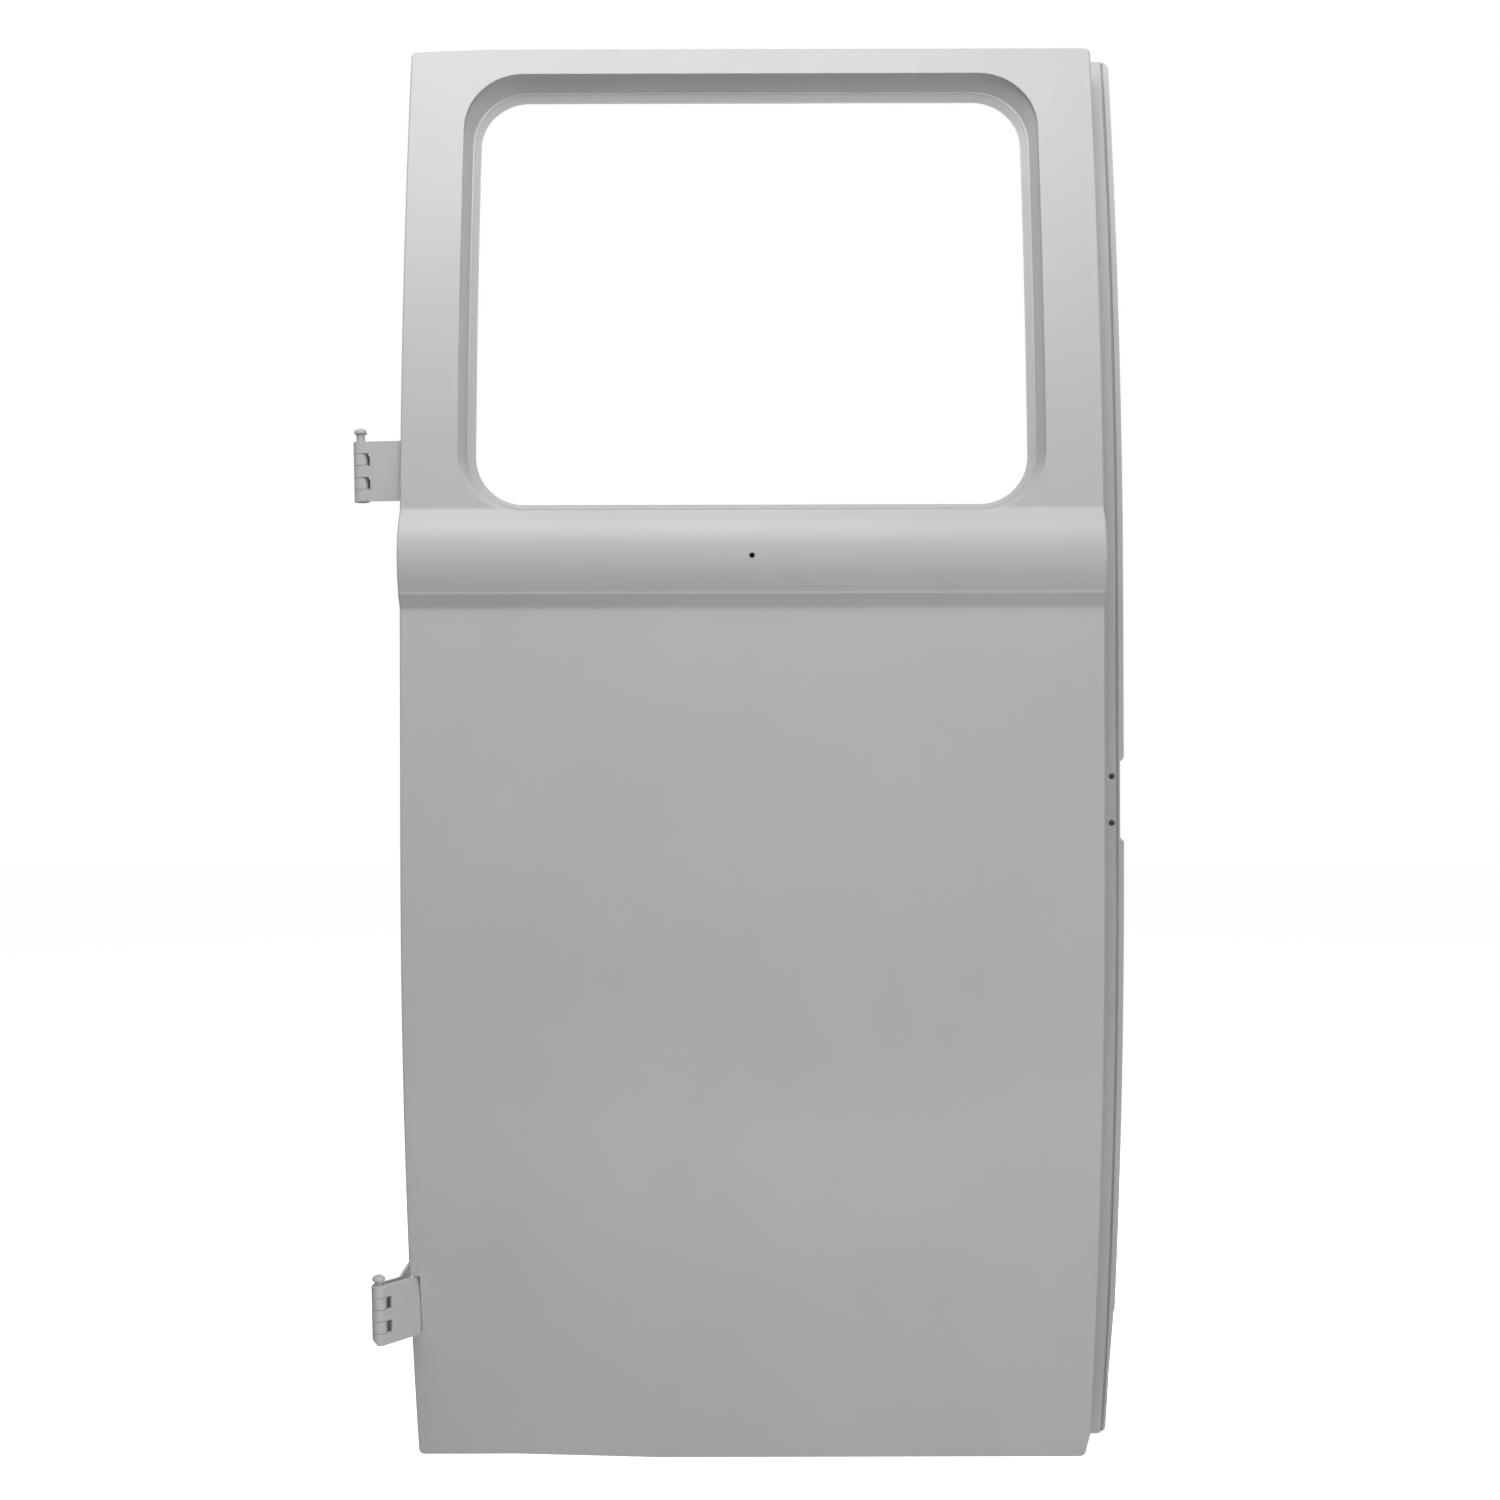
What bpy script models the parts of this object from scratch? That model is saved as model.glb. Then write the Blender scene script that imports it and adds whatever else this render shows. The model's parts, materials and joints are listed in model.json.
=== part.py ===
"""Rear cargo door shell of a panel van: bare pressed and welded sheet steel.

The door is drawn flat first. X runs from the hinge side to the lock side, with 0 on the
centre line, Z runs up from the bottom edge, and Y is the depth behind the outer skin.
Each pressing is then bent to the section of the body side, so that nested sheets stay
parallel. The finished door is moved so that its origin is where the upper hinge meets
the pillar. All lengths are in metres.
"""

import math

import bmesh
import bpy
from mathutils import Matrix, Vector

# Sheets and fits
SKIN_SHEET = 0.0010
INNER_SHEET = 0.0012
HINGE_SHEET = 0.0024
PLATE_SHEET = 0.0030
FIT_GAP = 0.0003

# Outline of the door, seen from outside
DOOR_WIDTH = 0.588
DOOR_HEIGHT = 1.229
CORNER_R = 0.005
TOP_FALL = 0.0025
TOP_FALL_LENGTH = 0.065
BOTTOM_RISE = 0.004
BOTTOM_RISE_LENGTH = 0.088
BOTTOM_RAMP_LENGTH = 0.125
CORNER_CUT_WIDTH = 0.003
CORNER_CUT_HEIGHT = 0.022

# Section of the body side, bottom to top
LOWER_ARC_R = 1.792
LOWER_ARC_TOP_Z = 0.529
PANEL_SETBACK = 0.0126
BELT_CROWN_Z = 0.782
BELT_LOWER_R = 0.075
BELT_LOWER_RUN = 0.0284
SHOULDER_RUN = 0.0036
SHOULDER_DROP = 0.0006
FALL_RUN = 0.0065
FALL_FILLET_RUN = 0.0045
FALL_FILLET_DROP = 0.0008
BELT_UPPER_R = 0.060
BELT_UPPER_RUN = 0.039
UPPER_LEAN = 0.0474
UPPER_ARC_R = 2.137
BELT_HOLE_D = 0.0045

# Hem that folds the skin round the inner frame
HEM_WIDTH = 0.0068

# Window opening and its recess
PILLAR_WIDTH = 0.0605
HEADER_HEIGHT = 0.0436
SILL_RISE = 0.0075
WINDOW_CORNER_R = 0.041
RECESS_DEPTH = 0.018
RECESS_EDGE_ROLL = 0.0008
RECESS_FOOT_ROLL = 0.0012
SEAL_FLANGE_RAKE = 0.0018
SEAL_FLANGE_SIDE = 0.0068
SEAL_FLANGE_TOP = 0.0089
SEAL_FLANGE_SILL = 0.0048
WALL_RAKE_SIDE = 0.0046
WALL_RAKE_TOP = 0.0097
WALL_RAKE_SILL = 0.0013
RECESS_CORNER_R = 0.050

# Inner frame
FRAME_DEPTH = 0.0277
WEB_INSET = 0.0090
RAIL_TO_OPENING = 0.0165
RAIL_FLANGE = 0.0115
RAIL_BEND_R = 0.0022
BOTTOM_RAIL_HEIGHT = 0.0400
TOP_RAIL_HEIGHT = 0.0200
BELT_RAIL_DROP = 0.0275
BELT_RAIL_TO_SILL = 0.0129
BELT_RAIL_LIP = 0.0116
WINDOW_FRAME_FLANGE = 0.0165
WINDOW_FRAME_EDGE = 0.0005
STIFFENER_Z = 0.403
STIFFENER_CROWN = 0.020
STIFFENER_SLOPE = 0.004
STIFFENER_RISE = 0.0115
TOOLING_HOLE_D = 0.012
TOOLING_HOLES = 4
DRAIN_SLOTS = 3
DRAIN_SLOT_WIDTH = 0.020
DRAIN_SLOT_DEPTH = 0.007

# Meeting flange on the lock side
MEETING_REACH = 0.021
MEETING_BASE = 0.030
MEETING_BOTTOM_Z = 0.011
MEETING_TOP_MARGIN = 0.002
GROOVE_INSET = 0.0064
GROOVE_WIDTH = 0.0044
GROOVE_DEPTH = 0.0034
LIP_CORNER_R = 0.008
LIP_STEP_Z = 0.130
LIP_STEP = 0.0008
LIP_TAPER_Z = 0.069
LIP_TAPER = 0.0025
STRIKER_Z = 0.578
STRIKER_HOLE_SPACING = 0.040
STRIKER_HOLE_D = 0.0055
STRIKER_HOLE_INSET = 0.0098
STRIKER_PLATE_WIDTH = 0.0150
STRIKER_PLATE_HEIGHT = 0.062
STRIKER_PLATE_THICK = 0.0065
STRIKER_HOLE_DEPTH = 0.0055
STRIKER_NOTCH_HEIGHT = 0.0645
STRIKER_NOTCH_DEPTH = 0.0032

# Hinges
UPPER_HINGE_Z = 0.8554
LOWER_HINGE_Z = 0.1466
UPPER_PIN_OUT = 0.0345
LOWER_PIN_OUT = 0.0213
KNUCKLES = 5
KNUCKLE_PITCH = 0.0100
KNUCKLE_GAP = 0.0003
PIN_D = 0.0073
PIN_CLEARANCE = 0.00015
UPPER_PIN_NECK = 0.0064
LOWER_PIN_NECK = 0.0030
PIN_HEAD_D = 0.0108
PIN_HEAD_HEIGHT = 0.0056
PIN_RECESS = 0.0010
PIN_CHAMFER = 0.0006
PIN_HEAD_EDGE = 0.0014
PIN_HEAD_CONE = 0.0009
SLOT_CLEARANCE = 0.0010
CURL_ANGLE = 300.0
LEAF_BEND_R = 0.0030
JAMB_GAP = 0.0084
UPPER_JAMB_BACK_Y = 0.0880
LOWER_JAMB_BACK_Y = 0.0950
UPPER_LEAF_TAPER = 0.0125
UPPER_FLANGE_BACK_Y = 0.0430
LOWER_CORNER_Y = 0.0535
LOWER_FLANGE_BACK_Y = 0.0790
LEAF_CHAMFER_WIDTH = 0.0060
LEAF_CHAMFER_HEIGHT = 0.0070
LEAF_NOTCH_MARGIN = 0.0007
RAIL_NOTCH_RELIEF = 0.0002
JAMB_HOLE_D = 0.0085
JAMB_SINK_D = 0.0130
JAMB_HOLE_Z = 0.0130
JAMB_HOLE_INSET = 0.0110
HINGE_PLATE_HEIGHT = 0.062
HINGE_PLATE_FRONT = 0.0070
SCREW_D = 0.0060
SCREW_HOLE_D = 0.0066
SCREW_SPACING = 0.0220
SCREW_LENGTH = 0.0120
SCREW_HEAD_D = 0.0100
SCREW_HEAD_HEIGHT = 0.0038
UPPER_SCREW_Y = 0.0360
LOWER_SCREW_Y = 0.0724

# Facets
CURL_STEP = 15.0
FLAT_LIMIT = 0.0001
HEXAGON = 6
DOME_STEPS = 4
ROUND_STEPS = 24
SMALL_ROUND_STEPS = 16
BEND_STEPS = 2
CORNER_STEPS = 4
WINDOW_CORNER_STEPS = 8
HEM_STEPS = 4
LOWER_STATIONS = 10
UPPER_STATIONS = 8
BELT_STATIONS = 5

# Values worked out from the ones above
HALF_WIDTH = DOOR_WIDTH / 2
RAIL_WIDTH = PILLAR_WIDTH - WEB_INSET - RAIL_TO_OPENING
HEM_THICK = 2 * SKIN_SHEET + INNER_SHEET + 2 * FIT_GAP
HEM_R = HEM_THICK / 2
BELT_ARC_FOOT_Z = BELT_CROWN_Z - BELT_LOWER_RUN
SHOULDER_Z = BELT_ARC_FOOT_Z - SHOULDER_RUN
FALL_Z = SHOULDER_Z - FALL_RUN
PANEL_TOP_Z = FALL_Z - FALL_FILLET_RUN
BELT_CREASE_Z = BELT_CROWN_Z + BELT_UPPER_RUN
WINDOW_SILL_Z = BELT_CREASE_Z + SILL_RISE
WINDOW_WIDTH = DOOR_WIDTH - 2 * PILLAR_WIDTH
WINDOW_HEIGHT = DOOR_HEIGHT - HEADER_HEIGHT - WINDOW_SILL_Z
BELT_RAIL_LOW_Z = BELT_CROWN_Z - BELT_RAIL_DROP
BELT_RAIL_HIGH_Z = WINDOW_SILL_Z - BELT_RAIL_TO_SILL
HEM_SLOT_DEPTH = SKIN_SHEET + FIT_GAP + INNER_SHEET / 2
WEB_X = HALF_WIDTH - WEB_INSET
REAR_MID_DEPTH = FRAME_DEPTH - INNER_SHEET / 2
LAP_MID_DEPTH = REAR_MID_DEPTH - INNER_SHEET - FIT_GAP
HEM_FLANGE_START = SKIN_SHEET + 2 * FIT_GAP
HINGE_PLATE_BACK = FRAME_DEPTH - INNER_SHEET - RAIL_BEND_R
LIP_X = HALF_WIDTH + MEETING_REACH
STRIKER_HOLE_X = LIP_X - STRIKER_HOLE_INSET
KNUCKLE_MID_R = PIN_D / 2 + PIN_CLEARANCE + HINGE_SHEET / 2
KNUCKLE_R = KNUCKLE_MID_R + HINGE_SHEET / 2
LEAF_HEIGHT = KNUCKLES * KNUCKLE_PITCH
UPPER_PIN_X = -HALF_WIDTH - UPPER_PIN_OUT
LOWER_PIN_X = -HALF_WIDTH - LOWER_PIN_OUT
AXIS_LEAN = math.atan2(LOWER_PIN_X - UPPER_PIN_X, UPPER_HINGE_Z - LOWER_HINGE_Z)
LEAF_FLANGE_X = -WEB_X - FIT_GAP - HINGE_SHEET / 2
JAMB_PLATE_X = -HALF_WIDTH - JAMB_GAP
JAMB_FACE_X = JAMB_PLATE_X - HINGE_SHEET / 2
BIG = 1.0


# The section of the body side

def arc_sag(radius, run):
    """Depth that an arc has fallen away from its tangent after a run."""
    return radius - math.sqrt(radius * radius - run * run)


def lower_line(z):
    """Depth of the lower panel, which turns under towards the sill."""
    return PANEL_SETBACK + arc_sag(LOWER_ARC_R, max(LOWER_ARC_TOP_Z - z, 0.0))


def upper_line(z):
    """Depth of the panel round the window, which leans in towards the roof."""
    rise = z - BELT_CREASE_Z
    return arc_sag(BELT_UPPER_R, BELT_UPPER_RUN) + UPPER_LEAN * rise + arc_sag(UPPER_ARC_R, rise)


def between(z, low, high, low_value, high_value):
    """Value on the straight line between two heights."""
    share = (z - low) / (high - low)
    return low_value + (high_value - low_value) * share


def skin_line(z):
    """Depth of the outer skin behind the crown of its belt swage."""
    arc_foot = arc_sag(BELT_LOWER_R, BELT_LOWER_RUN)
    shoulder = arc_foot + SHOULDER_DROP
    fall = PANEL_SETBACK - FALL_FILLET_DROP
    if z <= PANEL_TOP_Z:
        return lower_line(z)
    if z <= FALL_Z:
        return between(z, PANEL_TOP_Z, FALL_Z, PANEL_SETBACK, fall)
    if z <= SHOULDER_Z:
        return between(z, FALL_Z, SHOULDER_Z, fall, shoulder)
    if z <= BELT_ARC_FOOT_Z:
        return between(z, SHOULDER_Z, BELT_ARC_FOOT_Z, shoulder, arc_foot)
    if z <= BELT_CROWN_Z:
        return arc_sag(BELT_LOWER_R, BELT_CROWN_Z - z)
    if z <= BELT_CREASE_Z:
        return arc_sag(BELT_UPPER_R, z - BELT_CROWN_Z)
    return upper_line(z)


PIN_Y = skin_line(UPPER_HINGE_Z + LEAF_HEIGHT / 2) + HEM_THICK + FIT_GAP + KNUCKLE_R
LOWER_CORNER = Vector((LEAF_FLANGE_X - LOWER_PIN_X, LOWER_CORNER_Y - PIN_Y))
LOWER_RUN = math.atan2(LOWER_CORNER.y, LOWER_CORNER.x) + math.asin(KNUCKLE_MID_R / LOWER_CORNER.length)
LOWER_JAMB_CORNER = (JAMB_PLATE_X - LOWER_PIN_X) * math.tan(LOWER_RUN) + KNUCKLE_MID_R / math.cos(LOWER_RUN)
UPPER_JAMB_FLAT_Y = PIN_Y + KNUCKLE_MID_R + LEAF_BEND_R
LOWER_JAMB_FLAT_Y = PIN_Y + LOWER_JAMB_CORNER + LEAF_BEND_R * math.tan((math.pi / 2 - LOWER_RUN) / 2)
UPPER_MOUNT_Y = (UPPER_JAMB_FLAT_Y + UPPER_JAMB_BACK_Y) / 2


def frame_line(z):
    """Depth of the inner frame, which runs straight past the belt swage."""
    if z <= PANEL_TOP_Z:
        return lower_line(z)
    if z >= BELT_CREASE_Z:
        return upper_line(z)
    return between(z, PANEL_TOP_Z, BELT_CREASE_Z, PANEL_SETBACK, upper_line(BELT_CREASE_Z))


def body_shift(depth, z):
    """How far the body side carries a point of the flat door inboard."""
    share = min(max((depth - HEM_THICK) / (REAR_MID_DEPTH - HEM_THICK - RAIL_WIDTH / 4), 0.0), 1.0)
    return skin_line(z) + (frame_line(z) - skin_line(z)) * share


def spread(low, high, steps):
    """Heights at equal steps from low to high, both included."""
    return [low + (high - low) * i / steps for i in range(steps + 1)]


STATIONS = sorted(set(
    spread(0.0, LOWER_ARC_TOP_Z, LOWER_STATIONS)
    + [PANEL_TOP_Z, FALL_Z, SHOULDER_Z]
    + spread(BELT_ARC_FOOT_Z, BELT_CROWN_Z, BELT_STATIONS)
    + spread(BELT_CROWN_Z, BELT_CREASE_Z, BELT_STATIONS)
    + spread(BELT_CREASE_Z, DOOR_HEIGHT, UPPER_STATIONS)))


# Plane outlines

def circle_points(centre, radius, start_deg, end_deg, steps):
    """Points along an arc, both ends included."""
    points = []
    for i in range(steps + 1):
        angle = math.radians(start_deg + (end_deg - start_deg) * i / steps)
        points.append(Vector((centre[0] + radius * math.cos(angle), centre[1] + radius * math.sin(angle))))
    return points


def rounded(points, radius, steps=BEND_STEPS):
    """A path with each of its inner corners turned round an arc."""
    path = [Vector(point) for point in points]
    result = [path[0]]
    for before, corner, after in zip(path, path[1:], path[2:]):
        incoming = (corner - before).normalized()
        outgoing = (after - corner).normalized()
        turn = incoming.angle(outgoing)
        setback = radius * math.tan(turn / 2)
        bisector = (outgoing - incoming).normalized()
        centre = corner + bisector * (radius / math.cos(turn / 2))
        first = corner - incoming * setback - centre
        sign = 1.0 if incoming.x * outgoing.y - incoming.y * outgoing.x > 0 else -1.0
        for i in range(steps + 1):
            arm = first.copy()
            arm.rotate(Matrix.Rotation(sign * turn * i / steps, 2))
            result.append(centre + arm)
    result.append(path[-1])
    return result


def beside(path, distance):
    """The path moved sideways by a distance, with mitred corners."""
    result = []
    for i, point in enumerate(path):
        before = (point - path[i - 1]).normalized() if i else None
        after = (path[i + 1] - point).normalized() if i + 1 < len(path) else None
        first = before or after
        second = after or before
        first_normal = Vector((-first.y, first.x))
        normal = (first_normal + Vector((-second.y, second.x))).normalized()
        result.append(point + normal * (distance / normal.dot(first_normal)))
    return result


def sheet_outline(path, thickness):
    """Closed outline of a sheet seen edge on, half of its thickness on each side of the path."""
    return beside(path, thickness / 2) + beside(path, -thickness / 2)[::-1]


# Solids and objects

def paint(name, color, roughness, metallic):
    """A plain surface finish."""
    material = bpy.data.materials.new(name)
    material.use_nodes = True
    shader = material.node_tree.nodes["Principled BSDF"]
    shader.inputs["Base Color"].default_value = (*color, 1.0)
    shader.inputs["Roughness"].default_value = roughness
    shader.inputs["Metallic"].default_value = metallic
    material.diffuse_color = (*color, 1.0)
    return material


def finish(bm, name, material, parent, smooth_deg=30.0):
    """Turn a finished mesh into a named object."""
    bmesh.ops.remove_doubles(bm, verts=bm.verts[:], dist=1e-7)
    bmesh.ops.recalc_face_normals(bm, faces=bm.faces[:])
    mesh = bpy.data.meshes.new(name)
    bm.to_mesh(mesh)
    bm.free()
    mesh.materials.append(material)
    mesh.shade_smooth()
    mesh.set_sharp_from_angle(angle=math.radians(smooth_deg))
    made = bpy.data.objects.new(name, mesh)
    bpy.context.scene.collection.objects.link(made)
    made.parent = parent
    return made


def extrude_outline(bm, outline, place, low, high):
    """Extrude a closed outline. place(u, v, w) puts a point of it at w along the run."""
    face = bm.faces.new([bm.verts.new(place(point.x, point.y, low)) for point in outline])
    grown = bmesh.ops.extrude_face_region(bm, geom=[face])["geom"]
    run = place(0.0, 0.0, high) - place(0.0, 0.0, low)
    bmesh.ops.translate(bm, vec=run, verts=[item for item in grown if isinstance(item, bmesh.types.BMVert)])
    bmesh.ops.recalc_face_normals(bm, faces=bm.faces[:])


def upright(u, v, w):
    """Outline in X and depth, run along Z."""
    return Vector((u, v, w))


def crosswise(u, v, w):
    """Outline in Z and depth, run along X."""
    return Vector((w, v, u))


def through(u, v, w):
    """Outline in X and Z, run along the depth."""
    return Vector((u, w, v))


def sideways(u, v, w):
    """Outline in depth and Z, run along X."""
    return Vector((w, u, v))


def bend_to_body(bm):
    """Cut a flat piece at the stations and bend it to the body side."""
    for z in STATIONS:
        geometry = bm.verts[:] + bm.edges[:] + bm.faces[:]
        bmesh.ops.bisect_plane(bm, geom=geometry, dist=1e-6, plane_co=(0, 0, z), plane_no=(0, 0, 1))
    for vert in bm.verts:
        vert.co.y += body_shift(vert.co.y, vert.co.z)


def turned_solid(bm, profile, steps, place):
    """Turn a profile of (radius, height) points round its axis and cap its ends."""
    rings = []
    for radius, height in profile:
        ring = circle_points((0.0, 0.0), radius, 0.0, 360.0 * (steps - 1) / steps, steps - 1)
        rings.append([bm.verts.new(place(point.x, point.y, height)) for point in ring])
    for lower, upper in zip(rings, rings[1:]):
        join_rings(bm, lower, upper, closed=True)
    bm.faces.new(rings[0])
    bm.faces.new(rings[-1])
    bmesh.ops.recalc_face_normals(bm, faces=bm.faces[:])


def join_rings(bm, first, second, closed):
    """Faces between two rows of corners of the same length."""
    count = len(first)
    for i in range(count if closed else count - 1):
        j = (i + 1) % count
        bm.faces.new((first[i], first[j], second[j], second[i]))


def cutter(bm, name, parent):
    """A guide that cuts other pieces and isn't one itself."""
    bmesh.ops.recalc_face_normals(bm, faces=bm.faces[:])
    mesh = bpy.data.meshes.new(name)
    bm.to_mesh(mesh)
    bm.free()
    made = bpy.data.objects.new(name, mesh)
    bpy.context.scene.collection.objects.link(made)
    made.parent = parent
    made.hide_render = True
    made.display_type = "WIRE"
    return made


def cut_with(piece, tool, operation="DIFFERENCE"):
    """Boolean of a piece with a cutter."""
    modifier = piece.modifiers.new(tool.name, "BOOLEAN")
    modifier.operation = operation
    modifier.object = tool
    modifier.solver = "EXACT"


def cut_outline(name, outline, place, low, high, parent):
    """A cutter made from an extruded outline."""
    bm = bmesh.new()
    extrude_outline(bm, outline, place, low, high)
    return cutter(bm, name, parent)


def box_outline(u_low, u_high, v_low, v_high):
    """A rectangle as an outline."""
    corners = ((u_low, v_low), (u_high, v_low), (u_high, v_high), (u_low, v_high))
    return [Vector(corner) for corner in corners]


def round_outline(u, v, diameter, steps=SMALL_ROUND_STEPS):
    """A circle as an outline."""
    return circle_points((u, v), diameter / 2, 0.0, 360.0 * (steps - 1) / steps, steps - 1)


# Outer skin

def door_ring(inset, depth):
    """The door's outline, moved in from its edge, as four runs that each end in a corner."""
    centres = [
        (HALF_WIDTH - CORNER_CUT_WIDTH - CORNER_R, CORNER_R),
        (HALF_WIDTH - CORNER_R, DOOR_HEIGHT - CORNER_R),
        (-HALF_WIDTH + CORNER_R, DOOR_HEIGHT - TOP_FALL - CORNER_R),
        (-HALF_WIDTH + CORNER_R, BOTTOM_RISE + CORNER_R)]
    rise_x = -HALF_WIDTH + BOTTOM_RISE_LENGTH
    straight_parts = [
        [Vector((rise_x, BOTTOM_RISE + inset)), Vector((rise_x + BOTTOM_RAMP_LENGTH, inset))],
        [Vector((HALF_WIDTH - inset, CORNER_CUT_HEIGHT))],
        [Vector((-HALF_WIDTH + TOP_FALL_LENGTH, DOOR_HEIGHT - inset))],
        []]
    runs = []
    for centre, start, straight in zip(centres, (-90, 0, 90, 180), straight_parts):
        run = straight + circle_points(centre, CORNER_R - inset, start, start + 90, CORNER_STEPS)
        runs.append([Vector((p.x, depth, p.y)) for p in run])
    return runs


def window_ring(side, top, sill, radius, depth):
    """The window's outline, grown by its own amount at the sides, the top and the sill."""
    half = WINDOW_WIDTH / 2 + side
    low = WINDOW_SILL_Z - sill
    high = WINDOW_SILL_Z + WINDOW_HEIGHT + top
    corners = [(half, low, -90), (half, high, 0), (-half, high, 90), (-half, low, 180)]
    ring = []
    for x, z, start in corners:
        centre = (x - math.copysign(radius, x), z + radius if z == low else z - radius)
        ring += circle_points(centre, radius, start, start + 90, WINDOW_CORNER_STEPS)
    return [Vector((p.x, depth, p.y)) for p in ring]


def skin_window_rings():
    """Rings of the pressed recess, from its edge in the panel to the cut edge of the opening."""
    side = SEAL_FLANGE_SIDE + WALL_RAKE_SIDE
    top = SEAL_FLANGE_TOP + WALL_RAKE_TOP
    sill = SEAL_FLANGE_SILL + WALL_RAKE_SILL
    edge = RECESS_EDGE_ROLL
    foot = RECESS_FOOT_ROLL
    foot_radius = WINDOW_CORNER_R + SEAL_FLANGE_SIDE
    return [
        window_ring(side + edge, top + edge, sill + edge, RECESS_CORNER_R, 0.0),
        window_ring(side + edge / 4, top + edge / 4, sill + edge / 4, RECESS_CORNER_R, edge / 4),
        window_ring(side, top, sill, RECESS_CORNER_R, edge),
        window_ring(SEAL_FLANGE_SIDE, SEAL_FLANGE_TOP, SEAL_FLANGE_SILL, foot_radius, RECESS_DEPTH - foot),
        window_ring(SEAL_FLANGE_SIDE - foot / 3, SEAL_FLANGE_TOP - foot / 3, SEAL_FLANGE_SILL - foot / 3,
                    foot_radius, RECESS_DEPTH - foot / 3),
        window_ring(SEAL_FLANGE_SIDE - foot, SEAL_FLANGE_TOP - foot, SEAL_FLANGE_SILL - foot,
                    foot_radius, RECESS_DEPTH),
        window_ring(0.0, 0.0, 0.0, WINDOW_CORNER_R, RECESS_DEPTH + SEAL_FLANGE_RAKE)]


def hem_rings():
    """Rings of the folded edge, from the panel round to the back of the fold."""
    rings = []
    for i in range(HEM_STEPS + 1):
        angle = math.pi * i / HEM_STEPS
        rings.append(door_ring(HEM_R * (1 - math.sin(angle)), HEM_R * (1 - math.cos(angle))))
    return rings


def add_hem_flaps(bm, runs):
    """Fold each straight side's flap in to a straight edge, mitred at the corners as a hem is."""
    low = BOTTOM_RISE + HEM_WIDTH
    high = DOOR_HEIGHT - TOP_FALL - HEM_WIDTH
    across = HALF_WIDTH - HEM_WIDTH
    sides = [(2, low, 0, 1), (0, across, 2, 1), (2, high, 0, -1), (0, -across, 2, -1)]
    for side, (axis, edge, run_axis, forward) in enumerate(sides):
        folded = [runs[side - 1][-1]] + runs[side][:len(runs[side]) - CORNER_STEPS]
        flap = []
        for i, vert in enumerate(folded):
            place = vert.co.copy()
            place[axis] = edge
            if i == 0:
                place[run_axis] += forward * HEM_WIDTH
            elif i == len(folded) - 1:
                place[run_axis] -= forward * HEM_WIDTH
            flap.append(bm.verts.new(place))
        join_rings(bm, folded, flap, closed=False)


def skin_surface(bm):
    """The outer face of the skin: panel, window recess, and hem."""
    window = [[bm.verts.new(p) for p in ring] for ring in skin_window_rings()]
    hem = [[[bm.verts.new(p) for p in run] for run in ring] for ring in hem_rings()]
    whole = [[vert for run in ring for vert in run] for ring in hem]
    panel_edges = []
    for ring in (whole[0], window[0]):
        panel_edges += [bm.edges.new((ring[i - 1], ring[i])) for i in range(len(ring))]
    bmesh.ops.triangle_fill(bm, edges=panel_edges, use_beauty=True, normal=(0, -1, 0))
    for ring, deeper in zip(window, window[1:]):
        join_rings(bm, ring, deeper, closed=True)
    for ring, deeper in zip(whole, whole[1:]):
        join_rings(bm, ring, deeper, closed=True)
    add_hem_flaps(bm, hem[-1])
    bmesh.ops.recalc_face_normals(bm, faces=bm.faces[:])


def thicken_inboard(bm, thickness):
    """Give a pressed surface its sheet, behind the face that looks outboard."""
    front = min(bm.faces, key=lambda face: face.calc_center_median().y)
    if front.normal.y > 0:
        bmesh.ops.reverse_faces(bm, faces=bm.faces[:])
    bm.normal_update()
    bmesh.ops.solidify(bm, geom=bm.faces[:], thickness=thickness)


def outer_skin(material, parent):
    """Pressed outer panel."""
    bm = bmesh.new()
    skin_surface(bm)
    thicken_inboard(bm, SKIN_SHEET)
    bend_to_body(bm)
    skin = finish(bm, "outer_skin", material, parent, smooth_deg=24.0)
    hole = round_outline(0.0, BELT_CROWN_Z, BELT_HOLE_D)
    cut_with(skin, cut_outline("belt_hole_guide", hole, through, -BIG, BIG, parent))
    return skin


# Inner frame

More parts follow.
